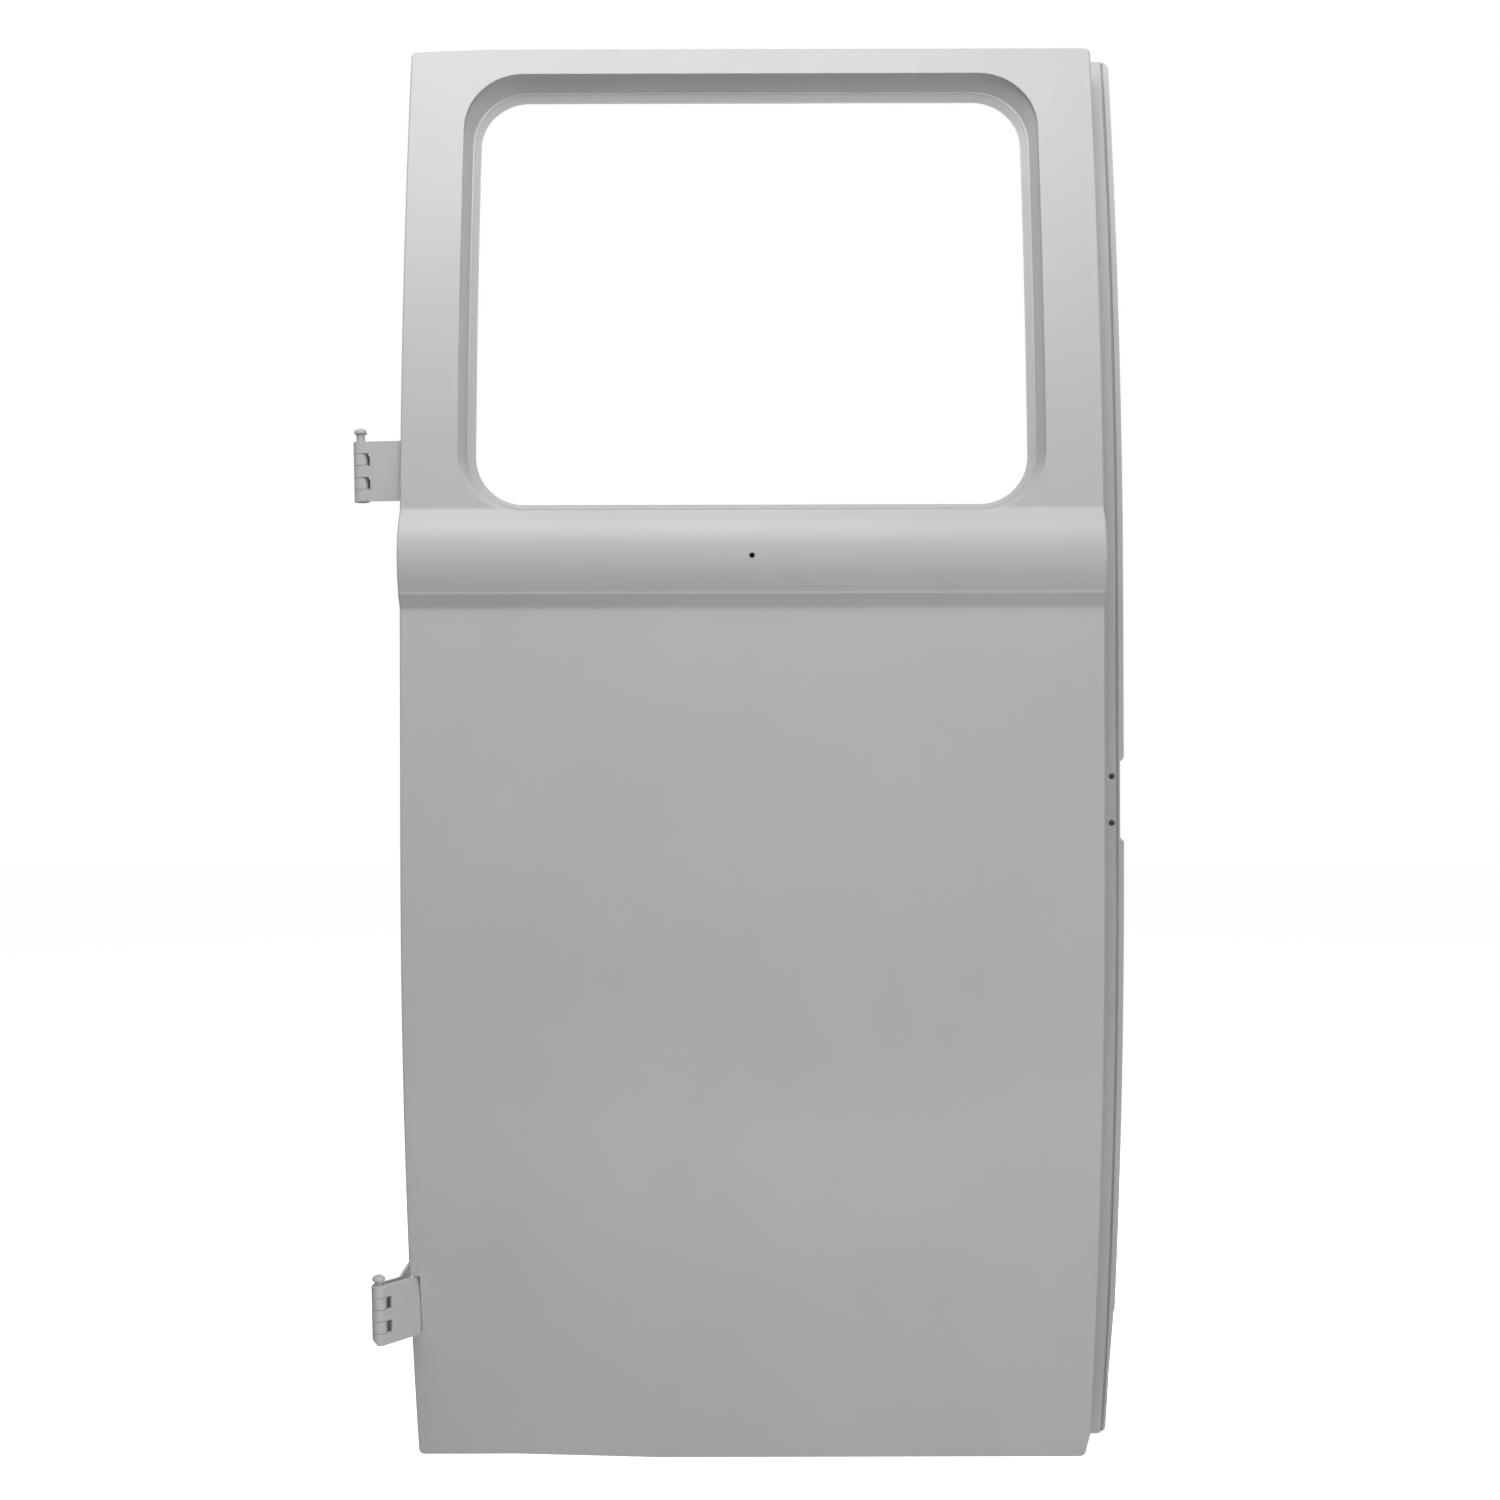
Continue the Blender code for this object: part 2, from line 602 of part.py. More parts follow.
def side_rail(name, side, material, parent):
    """Hat-section rail of one side, whose outer flange sits in the hem."""
    edge = HALF_WIDTH - HEM_FLANGE_START
    web = WEB_X - INNER_SHEET / 2
    inner_web = web - RAIL_WIDTH
    path = rounded([
        (side * edge, HEM_SLOT_DEPTH), (side * web, HEM_SLOT_DEPTH), (side * web, REAR_MID_DEPTH),
        (side * inner_web, REAR_MID_DEPTH), (side * inner_web, HEM_SLOT_DEPTH),
        (side * (inner_web - RAIL_FLANGE), HEM_SLOT_DEPTH)], RAIL_BEND_R)
    bm = bmesh.new()
    low = BOTTOM_RISE + WEB_INSET
    high = DOOR_HEIGHT - TOP_FALL - WEB_INSET
    extrude_outline(bm, sheet_outline(path, INNER_SHEET), upright, low, high)
    bend_to_body(bm)
    rail = finish(bm, name, material, parent)

    clear_x = inner_web + INNER_SHEET / 2 + RAIL_BEND_R
    x_low, x_high = sorted((side * clear_x, side * (clear_x - 2 * RAIL_WIDTH)))
    bottom_clear = low + BOTTOM_RAIL_HEIGHT + RAIL_FLANGE + 4 * FIT_GAP
    belt_clear = BELT_RAIL_LOW_Z - RAIL_FLANGE - 4 * FIT_GAP
    for place, z_low, z_high in (("bottom", -BIG, bottom_clear), ("belt", belt_clear, 2 * BIG)):
        outline = box_outline(x_low, x_high, z_low, z_high)
        cut_with(rail, cut_outline(name + "_" + place + "_guide", outline, through, -BIG, BIG, parent))
    for i in range(TOOLING_HOLES):
        share = (i + 0.5) / TOOLING_HOLES
        hole_z = bottom_clear + (belt_clear - bottom_clear) * share
        hole = round_outline(side * (web - RAIL_WIDTH / 2), hole_z, TOOLING_HOLE_D)
        start = body_shift(REAR_MID_DEPTH, hole_z) + FRAME_DEPTH / 2
        tool = cut_outline(name + "_hole_guide_" + str(i), hole, through, start, start + FRAME_DEPTH, parent)
        cut_with(rail, tool)
    return rail


def trim_corner_cut(rail, parent):
    """Trim the lock side rail's hem flange along the cut corner of the skin."""
    edge = HALF_WIDTH - HEM_FLANGE_START - FIT_GAP
    outline = [Vector((edge - CORNER_CUT_WIDTH, -BIG)), Vector((BIG, -BIG)), Vector((BIG, CORNER_CUT_HEIGHT)),
               Vector((edge, CORNER_CUT_HEIGHT)), Vector((edge - CORNER_CUT_WIDTH, CORNER_R))]
    cut_with(rail, cut_outline("corner_cut_guide", outline, through, -BIG, BIG, parent))


def cross_rail(name, path, half_length, material, parent):
    """A pressed rail with the same section all the way across the door."""
    bm = bmesh.new()
    extrude_outline(bm, sheet_outline(path, INNER_SHEET), crosswise, -half_length, half_length)
    bend_to_body(bm)
    return finish(bm, name, material, parent)


def bottom_rail(half_length, material, parent):
    """Hat section along the bottom edge, with drain slots in its lower web."""
    edge = BOTTOM_RISE + HEM_FLANGE_START
    web = BOTTOM_RISE + WEB_INSET + INNER_SHEET / 2
    inner_web = web + BOTTOM_RAIL_HEIGHT
    path = rounded([
        (edge, HEM_SLOT_DEPTH), (web, HEM_SLOT_DEPTH), (web, LAP_MID_DEPTH), (inner_web, LAP_MID_DEPTH),
        (inner_web, HEM_SLOT_DEPTH), (inner_web + RAIL_FLANGE, HEM_SLOT_DEPTH)], RAIL_BEND_R)
    rail = cross_rail("bottom_rail", path, half_length, material, parent)
    middle = body_shift(LAP_MID_DEPTH, web) + FRAME_DEPTH / 2
    for i in range(DRAIN_SLOTS):
        x = half_length * (2 * i - DRAIN_SLOTS + 1) / DRAIN_SLOTS
        slot = box_outline(x - DRAIN_SLOT_WIDTH / 2, x + DRAIN_SLOT_WIDTH / 2,
                           middle - DRAIN_SLOT_DEPTH / 2, middle + DRAIN_SLOT_DEPTH / 2)
        tool = cut_outline("drain_guide_" + str(i), slot, upright, web - WEB_INSET, web + WEB_INSET, parent)
        cut_with(rail, tool)
    return rail


def top_rail(half_length, material, parent):
    """Z section along the top edge."""
    edge = DOOR_HEIGHT - TOP_FALL - HEM_FLANGE_START
    web = DOOR_HEIGHT - TOP_FALL - WEB_INSET - INNER_SHEET / 2
    path = rounded([
        (edge, HEM_SLOT_DEPTH), (web, HEM_SLOT_DEPTH), (web, LAP_MID_DEPTH),
        (web - TOP_RAIL_HEIGHT, LAP_MID_DEPTH)], RAIL_BEND_R)
    return cross_rail("top_rail", path, half_length, material, parent)


def belt_rail(half_length, material, parent):
    """Rail behind the belt swage, which carries the window's sill."""
    path = rounded([
        (BELT_RAIL_LOW_Z - RAIL_FLANGE, HEM_SLOT_DEPTH), (BELT_RAIL_LOW_Z, HEM_SLOT_DEPTH),
        (BELT_RAIL_LOW_Z, LAP_MID_DEPTH), (BELT_RAIL_HIGH_Z, LAP_MID_DEPTH),
        (BELT_RAIL_HIGH_Z, LAP_MID_DEPTH - BELT_RAIL_LIP)], RAIL_BEND_R)
    return cross_rail("belt_rail", path, half_length, material, parent)


def panel_stiffener(material, parent):
    """Top-hat strip across the lower panel, between the flanges of the side rails."""
    half_length = WEB_X - INNER_SHEET / 2 - RAIL_WIDTH - RAIL_FLANGE - FIT_GAP
    crown = HEM_SLOT_DEPTH + STIFFENER_RISE
    half_crown = STIFFENER_CROWN / 2
    foot = half_crown + STIFFENER_SLOPE
    path = rounded([
        (STIFFENER_Z - foot - RAIL_FLANGE, HEM_SLOT_DEPTH), (STIFFENER_Z - foot, HEM_SLOT_DEPTH),
        (STIFFENER_Z - half_crown, crown), (STIFFENER_Z + half_crown, crown),
        (STIFFENER_Z + foot, HEM_SLOT_DEPTH), (STIFFENER_Z + foot + RAIL_FLANGE, HEM_SLOT_DEPTH)],
        RAIL_BEND_R)
    return cross_rail("panel_stiffener", path, half_length, material, parent)


def window_frame(material, parent):
    """Pressed ring behind the window's seal flange, flanged over the rails."""
    front = RECESS_DEPTH + SKIN_SHEET + 2 * FIT_GAP
    rear = FRAME_DEPTH + FIT_GAP
    bend = RAIL_BEND_R / 2
    soft = bend * (1 - math.sin(math.radians(45)))
    web = SEAL_FLANGE_SIDE - FIT_GAP
    rings = [
        (WINDOW_FRAME_EDGE, front + SEAL_FLANGE_RAKE), (web, front), (web + bend - soft, front + soft),
        (web + bend, front + bend), (web + bend, rear - bend), (web + bend + soft, rear - soft),
        (web + bend * 2, rear), (web + WINDOW_FRAME_FLANGE, rear)]
    bm = bmesh.new()
    rows = []
    for grow, depth in rings:
        rows.append([bm.verts.new(p) for p in window_ring(grow, grow, grow, WINDOW_CORNER_R + grow, depth)])
    for row, deeper in zip(rows, rows[1:]):
        join_rings(bm, row, deeper, closed=True)
    bmesh.ops.recalc_face_normals(bm, faces=bm.faces[:])
    thicken_inboard(bm, INNER_SHEET)
    bend_to_body(bm)
    return finish(bm, "window_frame", material, parent, smooth_deg=40.0)


def meeting_flange_outline():
    """Outline of the meeting flange, seen from outside."""
    high = DOOR_HEIGHT - MEETING_TOP_MARGIN
    inner_x = LIP_X - MEETING_REACH - MEETING_BASE
    narrow_x = LIP_X - LIP_TAPER
    notch_x = LIP_X - STRIKER_NOTCH_DEPTH
    notch_low = STRIKER_Z - STRIKER_NOTCH_HEIGHT / 2
    notch_high = STRIKER_Z + STRIKER_NOTCH_HEIGHT / 2
    outline = [Vector((inner_x, MEETING_BOTTOM_Z))]
    outline += circle_points((narrow_x - LIP_CORNER_R, MEETING_BOTTOM_Z + LIP_CORNER_R), LIP_CORNER_R,
                             -90, 0, CORNER_STEPS)
    outline += [
        Vector((narrow_x, LIP_TAPER_Z)), Vector((LIP_X - LIP_STEP, LIP_STEP_Z)),
        Vector((LIP_X, LIP_STEP_Z + LIP_STEP)), Vector((LIP_X, notch_low - STRIKER_NOTCH_DEPTH)),
        Vector((notch_x, notch_low)), Vector((notch_x, notch_high)),
        Vector((LIP_X, notch_high + STRIKER_NOTCH_DEPTH))]
    outline += circle_points((LIP_X - LIP_CORNER_R, high - LIP_CORNER_R), LIP_CORNER_R, 0, 90, CORNER_STEPS)
    outline.append(Vector((inner_x, high)))
    return outline


def striker_hole_guides(parent):
    """Cutters for the two striker holes, which end inside the tapped plate."""
    guides = []
    for i, side in enumerate((-1, 1)):
        z = STRIKER_Z + side * STRIKER_HOLE_SPACING / 2
        hole = round_outline(STRIKER_HOLE_X, z, STRIKER_HOLE_D)
        bottom = body_shift(FRAME_DEPTH, z) + FRAME_DEPTH + INNER_SHEET + STRIKER_HOLE_DEPTH
        guides.append(cut_outline("striker_hole_guide_" + str(i), hole, through, -BIG, bottom, parent))
    return guides


def meeting_flange(guides, material, parent):
    """Strip on the back of the lock side rail that the front door closes against."""
    middle = FRAME_DEPTH + FIT_GAP + INNER_SHEET / 2
    groove = LIP_X - GROOVE_INSET
    path = [
        (LIP_X - MEETING_REACH - MEETING_BASE - RAIL_FLANGE, middle),
        (groove - GROOVE_WIDTH / 2, middle), (groove - GROOVE_WIDTH / 6, middle + GROOVE_DEPTH),
        (groove + GROOVE_WIDTH / 6, middle + GROOVE_DEPTH), (groove + GROOVE_WIDTH / 2, middle),
        (LIP_X + RAIL_FLANGE, middle)]
    bm = bmesh.new()
    outline = sheet_outline([Vector(p) for p in path], INNER_SHEET)
    extrude_outline(bm, outline, upright, MEETING_BOTTOM_Z - RAIL_FLANGE, DOOR_HEIGHT + RAIL_FLANGE)
    bend_to_body(bm)
    flange = finish(bm, "meeting_flange", material, parent)
    shape = cut_outline("meeting_flange_guide", meeting_flange_outline(), through, -BIG, BIG, parent)
    cut_with(flange, shape, "INTERSECT")
    for guide in guides:
        cut_with(flange, guide)
    return flange


def striker_plate(guides, material, parent):
    """Tapped plate behind the striker holes."""
    front = FRAME_DEPTH + INNER_SHEET + 2 * FIT_GAP
    x_high = LIP_X - GROOVE_INSET - GROOVE_WIDTH / 2 - FIT_GAP
    outline = box_outline(x_high - STRIKER_PLATE_WIDTH, x_high, front, front + STRIKER_PLATE_THICK)
    bm = bmesh.new()
    half = STRIKER_PLATE_HEIGHT / 2
    extrude_outline(bm, outline, upright, STRIKER_Z - half, STRIKER_Z + half)
    bend_to_body(bm)
    plate = finish(bm, "striker_tapping_plate", material, parent)
    for guide in guides:
        cut_with(plate, guide)
    return plate


# Hinges

def stand_upright(bm, from_x):
    """Take the pin's lean out of the part of a leaf that lies on an upright face."""
    for vert in bm.verts:
        if vert.co.x > from_x:
            vert.co.x += vert.co.z * math.tan(AXIS_LEAN)
    bmesh.ops.connect_verts_nonplanar(bm, angle_limit=FLAT_LIMIT, faces=bm.faces[:])


def curl(tangent_deg, turn_sign):
    """Middle line of the curl, from where the leaf leaves it round to its open end."""
    steps = int(CURL_ANGLE / CURL_STEP)
    return circle_points((0.0, 0.0), KNUCKLE_MID_R, tangent_deg, tangent_deg + turn_sign * CURL_ANGLE, steps)


def door_leaf_path(run_deg, bends):
    """Door leaf: bends from its fixing flange to the curl, which it meets in front of the pin."""
    return rounded([*bends, curl(run_deg - 90, -1)[0]], LEAF_BEND_R)[:-1] + curl(run_deg - 90, -1)


def pillar_leaf_path(run_deg, bends):
    """Pillar leaf: bends from its fixing plate to the curl, which it meets behind the pin."""
    return rounded([*bends, curl(run_deg + 90, 1)[0]], LEAF_BEND_R)[:-1] + curl(run_deg + 90, 1)


def knuckle_guides(hinge, run_deg, axis_frame):
    """Cutters that clear each leaf from the other leaf's knuckles."""
    u = Vector((math.cos(math.radians(run_deg)), math.sin(math.radians(run_deg))))
    v = Vector((-u.y, u.x))
    reach = KNUCKLE_R + SLOT_CLEARANCE
    outline = [u * p.x + v * p.y for p in box_outline(-2 * reach, reach, -reach, reach)]
    guides = []
    for i in range(KNUCKLES):
        low = -LEAF_HEIGHT / 2 + i * KNUCKLE_PITCH
        low_cut = low - BIG if i == 0 else low - KNUCKLE_GAP / 2
        high_cut = low + KNUCKLE_PITCH + (BIG if i == KNUCKLES - 1 else KNUCKLE_GAP / 2)
        name = hinge + "_knuckle_guide_" + str(i)
        guides.append(cut_outline(name, outline, upright, low_cut, high_cut, axis_frame))
    return guides


def hinge_pin(hinge, neck, material, axis_frame):
    """Headed pin through all the knuckles."""
    radius = PIN_D / 2
    head_radius = PIN_HEAD_D / 2
    head_foot = LEAF_HEIGHT / 2 + neck
    edge_foot = head_foot + PIN_HEAD_CONE
    dome_foot = edge_foot + PIN_HEAD_EDGE
    dome = PIN_HEAD_HEIGHT - PIN_HEAD_CONE - PIN_HEAD_EDGE
    tail = -LEAF_HEIGHT / 2 + PIN_RECESS
    profile = [(radius - PIN_CHAMFER, tail), (radius, tail + PIN_CHAMFER), (radius, head_foot),
               (head_radius, edge_foot)]
    for i in range(DOME_STEPS):
        angle = math.pi / 2 * i / DOME_STEPS
        profile.append((head_radius * math.cos(angle), dome_foot + dome * math.sin(angle)))
    bm = bmesh.new()
    turned_solid(bm, profile, ROUND_STEPS, upright)
    return finish(bm, hinge + "_hinge_pin", material, axis_frame)


def countersink_guides(hinge, centre_z, flat_y, back_y, parent):
    """Cutters for the countersunk holes that fix the pillar leaf to the jamb."""
    front_y = flat_y + JAMB_HOLE_INSET
    rear_y = back_y - JAMB_HOLE_INSET
    slope = (JAMB_SINK_D - JAMB_HOLE_D) / 2
    inner_face = JAMB_FACE_X + HINGE_SHEET
    profile = [
        (JAMB_HOLE_D / 2, JAMB_FACE_X - HINGE_SHEET), (JAMB_HOLE_D / 2, inner_face - slope),
        (JAMB_SINK_D / 2, inner_face), (JAMB_SINK_D / 2, inner_face + HINGE_SHEET)]
    guides = []
    for i, (y, z) in enumerate(((front_y, JAMB_HOLE_Z), (front_y, -JAMB_HOLE_Z), (rear_y, 0.0))):
        bm = bmesh.new()
        turned_solid(bm, profile, SMALL_ROUND_STEPS, sideways)
        bmesh.ops.translate(bm, vec=(0.0, y, centre_z + z), verts=bm.verts[:])
        guides.append(cutter(bm, hinge + "_jamb_hole_guide_" + str(i), parent))
    return guides


def screw_guides(hinge, centre_z, y, parent):
    """Cutters for the clearance holes of the leaf's two screws."""
    guides = []
    for i, side in enumerate((-1, 1)):
        hole = round_outline(y, centre_z + side * SCREW_SPACING / 2, SCREW_HOLE_D)
        low = LEAF_FLANGE_X - HINGE_SHEET
        high = -WEB_X + INNER_SHEET + PLATE_SHEET + 2 * HINGE_SHEET
        guides.append(cut_outline(hinge + "_screw_hole_guide_" + str(i), hole, sideways, low, high, parent))
    return guides


def leaf_screws(hinge, centre_z, y, material, parent):
    """Hexagon screws that hold the door leaf to the rail."""
    head_foot = LEAF_FLANGE_X - HINGE_SHEET / 2 - FIT_GAP
    for i, side in enumerate((-1, 1)):
        z = centre_z + side * SCREW_SPACING / 2
        bm = bmesh.new()
        head = round_outline(y, z, SCREW_HEAD_D, HEXAGON)
        extrude_outline(bm, head, sideways, head_foot - SCREW_HEAD_HEIGHT, head_foot)
        screw = finish(bm, hinge + "_leaf_screw_" + str(i + 1), material, parent)
        shank = cut_outline(hinge + "_shank_guide_" + str(i), round_outline(y, z, SCREW_D), sideways,
                            head_foot - SCREW_HEAD_HEIGHT / 2, head_foot + SCREW_LENGTH, parent)
        cut_with(screw, shank, "UNION")


def hinge_plate(hinge, centre_z, guides, material, parent):
    """Tapped plate inside the hinge side rail, behind the door leaf."""
    x_low = -WEB_X + INNER_SHEET + FIT_GAP
    outline = box_outline(x_low, x_low + PLATE_SHEET, HINGE_PLATE_FRONT, HINGE_PLATE_BACK)
    half = HINGE_PLATE_HEIGHT / 2
    bm = bmesh.new()
    extrude_outline(bm, outline, upright, centre_z - half, centre_z + half)
    bend_to_body(bm)
    plate = finish(bm, hinge + "_hinge_plate", material, parent)
    for guide in guides:
        cut_with(plate, guide)


def axis_empty(hinge, pin_x, centre_z, parent):
    """The hinge's own frame, with Z along the pin."""
    made = bpy.data.objects.new(hinge + "_hinge_axis", None)
    bpy.context.scene.collection.objects.link(made)
    made.parent = parent
    made.location = (pin_x, PIN_Y, centre_z)
    made.rotation_euler = (0.0, -AXIS_LEAN, 0.0)
    return made


def hinge_leaves(hinge, paths, upright_from, run_deg, axis_frame, material):
    """Both leaves of a hinge, cleared from each other's knuckles."""
    guides = knuckle_guides(hinge, run_deg, axis_frame)
    leaves = []
    for leaf, path, from_x, first in zip(("door", "pillar"), paths, upright_from, (1, 0)):
        bm = bmesh.new()
        extrude_outline(bm, sheet_outline(path, HINGE_SHEET), upright, -LEAF_HEIGHT / 2, LEAF_HEIGHT / 2)
        stand_upright(bm, from_x)
        made = finish(bm, hinge + "_" + leaf + "_leaf", material, axis_frame)
        for guide in guides[first::2]:
            cut_with(made, guide)
        leaves.append(made)
    return leaves


def upper_hinge(hinge_rail, finishes, parent):
    """Upper hinge: its leaves run level with the door, and the door leaf passes behind the hem."""
    axis_frame = axis_empty("upper", UPPER_PIN_X, UPPER_HINGE_Z, parent)
    flange_x = LEAF_FLANGE_X - UPPER_PIN_X
    jamb_x = JAMB_PLATE_X - UPPER_PIN_X
    back = UPPER_JAMB_BACK_Y - PIN_Y
    door_path = door_leaf_path(0.0, [(flange_x, UPPER_FLANGE_BACK_Y - PIN_Y), (flange_x, -KNUCKLE_MID_R)])
    pillar_path = pillar_leaf_path(0.0, [(jamb_x, back), (jamb_x, KNUCKLE_MID_R)])
    upright_from = (flange_x - HINGE_SHEET * 2, jamb_x - HINGE_SHEET)
    paths = (door_path, pillar_path)
    leaves = hinge_leaves("upper", paths, upright_from, 0.0, axis_frame, finishes["primer"])

    foot = -LEAF_HEIGHT / 2
    corners = ((-KNUCKLE_MID_R, foot), (back, foot + UPPER_LEAF_TAPER), (BIG, foot + UPPER_LEAF_TAPER),
               (BIG, foot - BIG), (-KNUCKLE_MID_R, foot - BIG))
    taper = [Vector(point) for point in corners]
    for leaf in leaves:
        cut_with(leaf, cut_outline(leaf.name + "_taper_guide", taper, sideways, KNUCKLE_R, BIG, axis_frame))
    jamb_guides = countersink_guides("upper", UPPER_HINGE_Z, UPPER_JAMB_FLAT_Y, UPPER_JAMB_BACK_Y, parent)
    fix_hinge("upper", UPPER_HINGE_Z, UPPER_SCREW_Y, jamb_guides, leaves, hinge_rail, finishes, parent)
    hinge_pin("upper", UPPER_PIN_NECK, finishes["primer"], axis_frame)


def lower_hinge(hinge_rail, finishes, parent):
    """Lower hinge: the body turns under here, so its leaves slant back to reach the door's edge."""
    axis_frame = axis_empty("lower", LOWER_PIN_X, LOWER_HINGE_Z, parent)
    flange_x = LEAF_FLANGE_X - LOWER_PIN_X
    run_deg = math.degrees(LOWER_RUN)
    jamb_x = JAMB_PLATE_X - LOWER_PIN_X
    paths = (
        door_leaf_path(run_deg, [(flange_x, LOWER_FLANGE_BACK_Y - PIN_Y), tuple(LOWER_CORNER)]),
        pillar_leaf_path(run_deg, [(jamb_x, LOWER_JAMB_BACK_Y - PIN_Y), (jamb_x, LOWER_JAMB_CORNER)]))
    upright_from = (flange_x - HINGE_SHEET, jamb_x - HINGE_SHEET)
    leaves = hinge_leaves("lower", paths, upright_from, run_deg, axis_frame, finishes["primer"])

    foot = -LEAF_HEIGHT / 2
    corner = (-KNUCKLE_R, foot + LEAF_CHAMFER_HEIGHT)
    heel = (-KNUCKLE_R + LEAF_CHAMFER_WIDTH, foot)
    outside = corner[0] - BIG
    corners = ((outside, corner[1]), corner, heel, (heel[0], foot - BIG), (outside, foot - BIG))
    chamfer = [Vector(point) for point in corners]
    cut_with(leaves[0], cut_outline("leaf_chamfer_guide", chamfer, through, -BIG, BIG, axis_frame))
    jamb_guides = countersink_guides("lower", LOWER_HINGE_Z, LOWER_JAMB_FLAT_Y, LOWER_JAMB_BACK_Y, parent)
    fix_hinge("lower", LOWER_HINGE_Z, LOWER_SCREW_Y, jamb_guides, leaves, hinge_rail, finishes, parent)
    hinge_pin("lower", LOWER_PIN_NECK, finishes["primer"], axis_frame)


def fix_hinge(hinge, centre_z, screw_y, jamb_guides, leaves, hinge_rail, finishes, parent):
    """Holes, tapped plate and screws of one hinge."""
    guides = screw_guides(hinge, centre_z, screw_y, parent)
    for guide in guides:
        cut_with(leaves[0], guide)
        cut_with(hinge_rail, guide)
    for guide in jamb_guides:
        cut_with(leaves[1], guide)
    hinge_plate(hinge, centre_z, guides, finishes["primer"], parent)
    leaf_screws(hinge, centre_z, screw_y, finishes["zinc"], parent)


def cut_leaf_notch(skin, hinge_rail, parent):
    """Notch in the folded edge that the lower door leaf passes through."""
    half = LEAF_HEIGHT / 2 + LEAF_NOTCH_MARGIN
    middle = LOWER_HINGE_Z + (LEAF_FLANGE_X - LOWER_PIN_X) * math.sin(AXIS_LEAN)
    low = middle - half
    high = middle + half
    for piece, width in ((skin, WEB_INSET), (hinge_rail, WEB_INSET - RAIL_NOTCH_RELIEF)):
        outline = box_outline(-HALF_WIDTH - BIG, -HALF_WIDTH + width, low, high)
        cut_with(piece, cut_outline(piece.name + "_notch_guide", outline, through, -BIG, BIG, parent))


def clear_scene():
    """Remove every object that is already in the scene."""
    for item in list(bpy.data.objects):
        bpy.data.objects.remove(item, do_unlink=True)


def build():
    """Make the whole door shell."""
    clear_scene()
    finishes = {
        "primer": paint("grey_primer", (0.62, 0.62, 0.62), 0.5, 0.0),
        "zinc": paint("zinc_plate", (0.6, 0.6, 0.58), 0.35, 0.9)}
    door = bpy.data.objects.new("door_origin", None)
    bpy.context.scene.collection.objects.link(door)
    door.location = (-JAMB_FACE_X, -UPPER_MOUNT_Y, -UPPER_HINGE_Z)

    primer = finishes["primer"]
    cross_half = WEB_X - INNER_SHEET - RAIL_BEND_R - FIT_GAP
    skin = outer_skin(primer, door)
    hinge_rail = side_rail("hinge_side_rail", -1, primer, door)
    trim_corner_cut(side_rail("lock_side_rail", 1, primer, door), door)
    bottom_rail(cross_half, primer, door)
    top_rail(cross_half, primer, door)
    belt_rail(cross_half, primer, door)
    panel_stiffener(primer, door)
    window_frame(primer, door)
    guides = striker_hole_guides(door)
    meeting_flange(guides, primer, door)
    striker_plate(guides, primer, door)
    upper_hinge(hinge_rail, finishes, door)
    lower_hinge(hinge_rail, finishes, door)
    cut_leaf_notch(skin, hinge_rail, door)


build()
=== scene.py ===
"""Looks of the side door shell of a panel van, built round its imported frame. All sizes are in metres."""

import json
import math

import bmesh
import bpy
from mathutils import Matrix, Vector

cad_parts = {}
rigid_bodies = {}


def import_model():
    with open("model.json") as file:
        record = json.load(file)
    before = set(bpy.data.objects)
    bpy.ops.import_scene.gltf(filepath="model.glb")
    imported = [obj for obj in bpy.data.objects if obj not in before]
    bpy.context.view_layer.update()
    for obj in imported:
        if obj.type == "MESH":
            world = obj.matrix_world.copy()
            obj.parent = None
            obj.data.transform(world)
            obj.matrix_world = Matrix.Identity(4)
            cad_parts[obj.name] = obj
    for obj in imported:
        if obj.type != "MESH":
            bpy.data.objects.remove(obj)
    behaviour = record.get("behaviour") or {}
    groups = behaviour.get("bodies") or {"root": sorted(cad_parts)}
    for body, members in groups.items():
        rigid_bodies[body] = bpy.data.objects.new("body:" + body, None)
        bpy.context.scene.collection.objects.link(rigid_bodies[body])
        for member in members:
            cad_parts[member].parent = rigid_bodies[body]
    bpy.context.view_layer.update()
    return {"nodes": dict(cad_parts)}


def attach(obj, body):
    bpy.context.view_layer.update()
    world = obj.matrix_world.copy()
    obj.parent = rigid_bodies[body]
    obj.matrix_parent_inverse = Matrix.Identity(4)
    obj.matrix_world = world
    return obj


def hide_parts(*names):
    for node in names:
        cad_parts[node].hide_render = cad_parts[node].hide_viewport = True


for start_object in list(bpy.data.objects):
    bpy.data.objects.remove(start_object, do_unlink=True)
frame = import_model()

# Studio. The door is seen level and square on from about one and a half metres, against white,
# under a broad soft light from above and in front.

# The door is drawn flat, as it is pressed, and this carries it to the frame's origin, which is
# where the upper hinge meets the pillar. X runs to the lock side, Y inboard, Z up.
DOOR_ORIGIN = Vector((0.3036, -0.0622, -0.8554))

scene = bpy.context.scene
scene.view_settings.view_transform = "Standard"

lens_data = bpy.data.cameras.new("studio_camera")
lens_data.sensor_width = 36.0
lens_data.lens = 43.2
lens_data.shift_x = -0.0017
lens_data.clip_end = 50.0
camera = bpy.data.objects.new("studio_camera", lens_data)
camera.location = DOOR_ORIGIN + Vector((0.0, -1.487, 0.621))
camera.rotation_euler = (math.radians(90.0), math.radians(0.15), 0.0)
scene.collection.objects.link(camera)
scene.camera = camera

FLOOR_DROP = 0.25
WORLD_GREY = (0.04, 0.04, 0.04, 1.0)
WHITE = (1.0, 1.0, 1.0, 1.0)
FLOOR_GREY = (0.80, 0.80, 0.80, 1.0)
FLOOR_GLOW = 0.95
FLOOR_HALF = 12.0


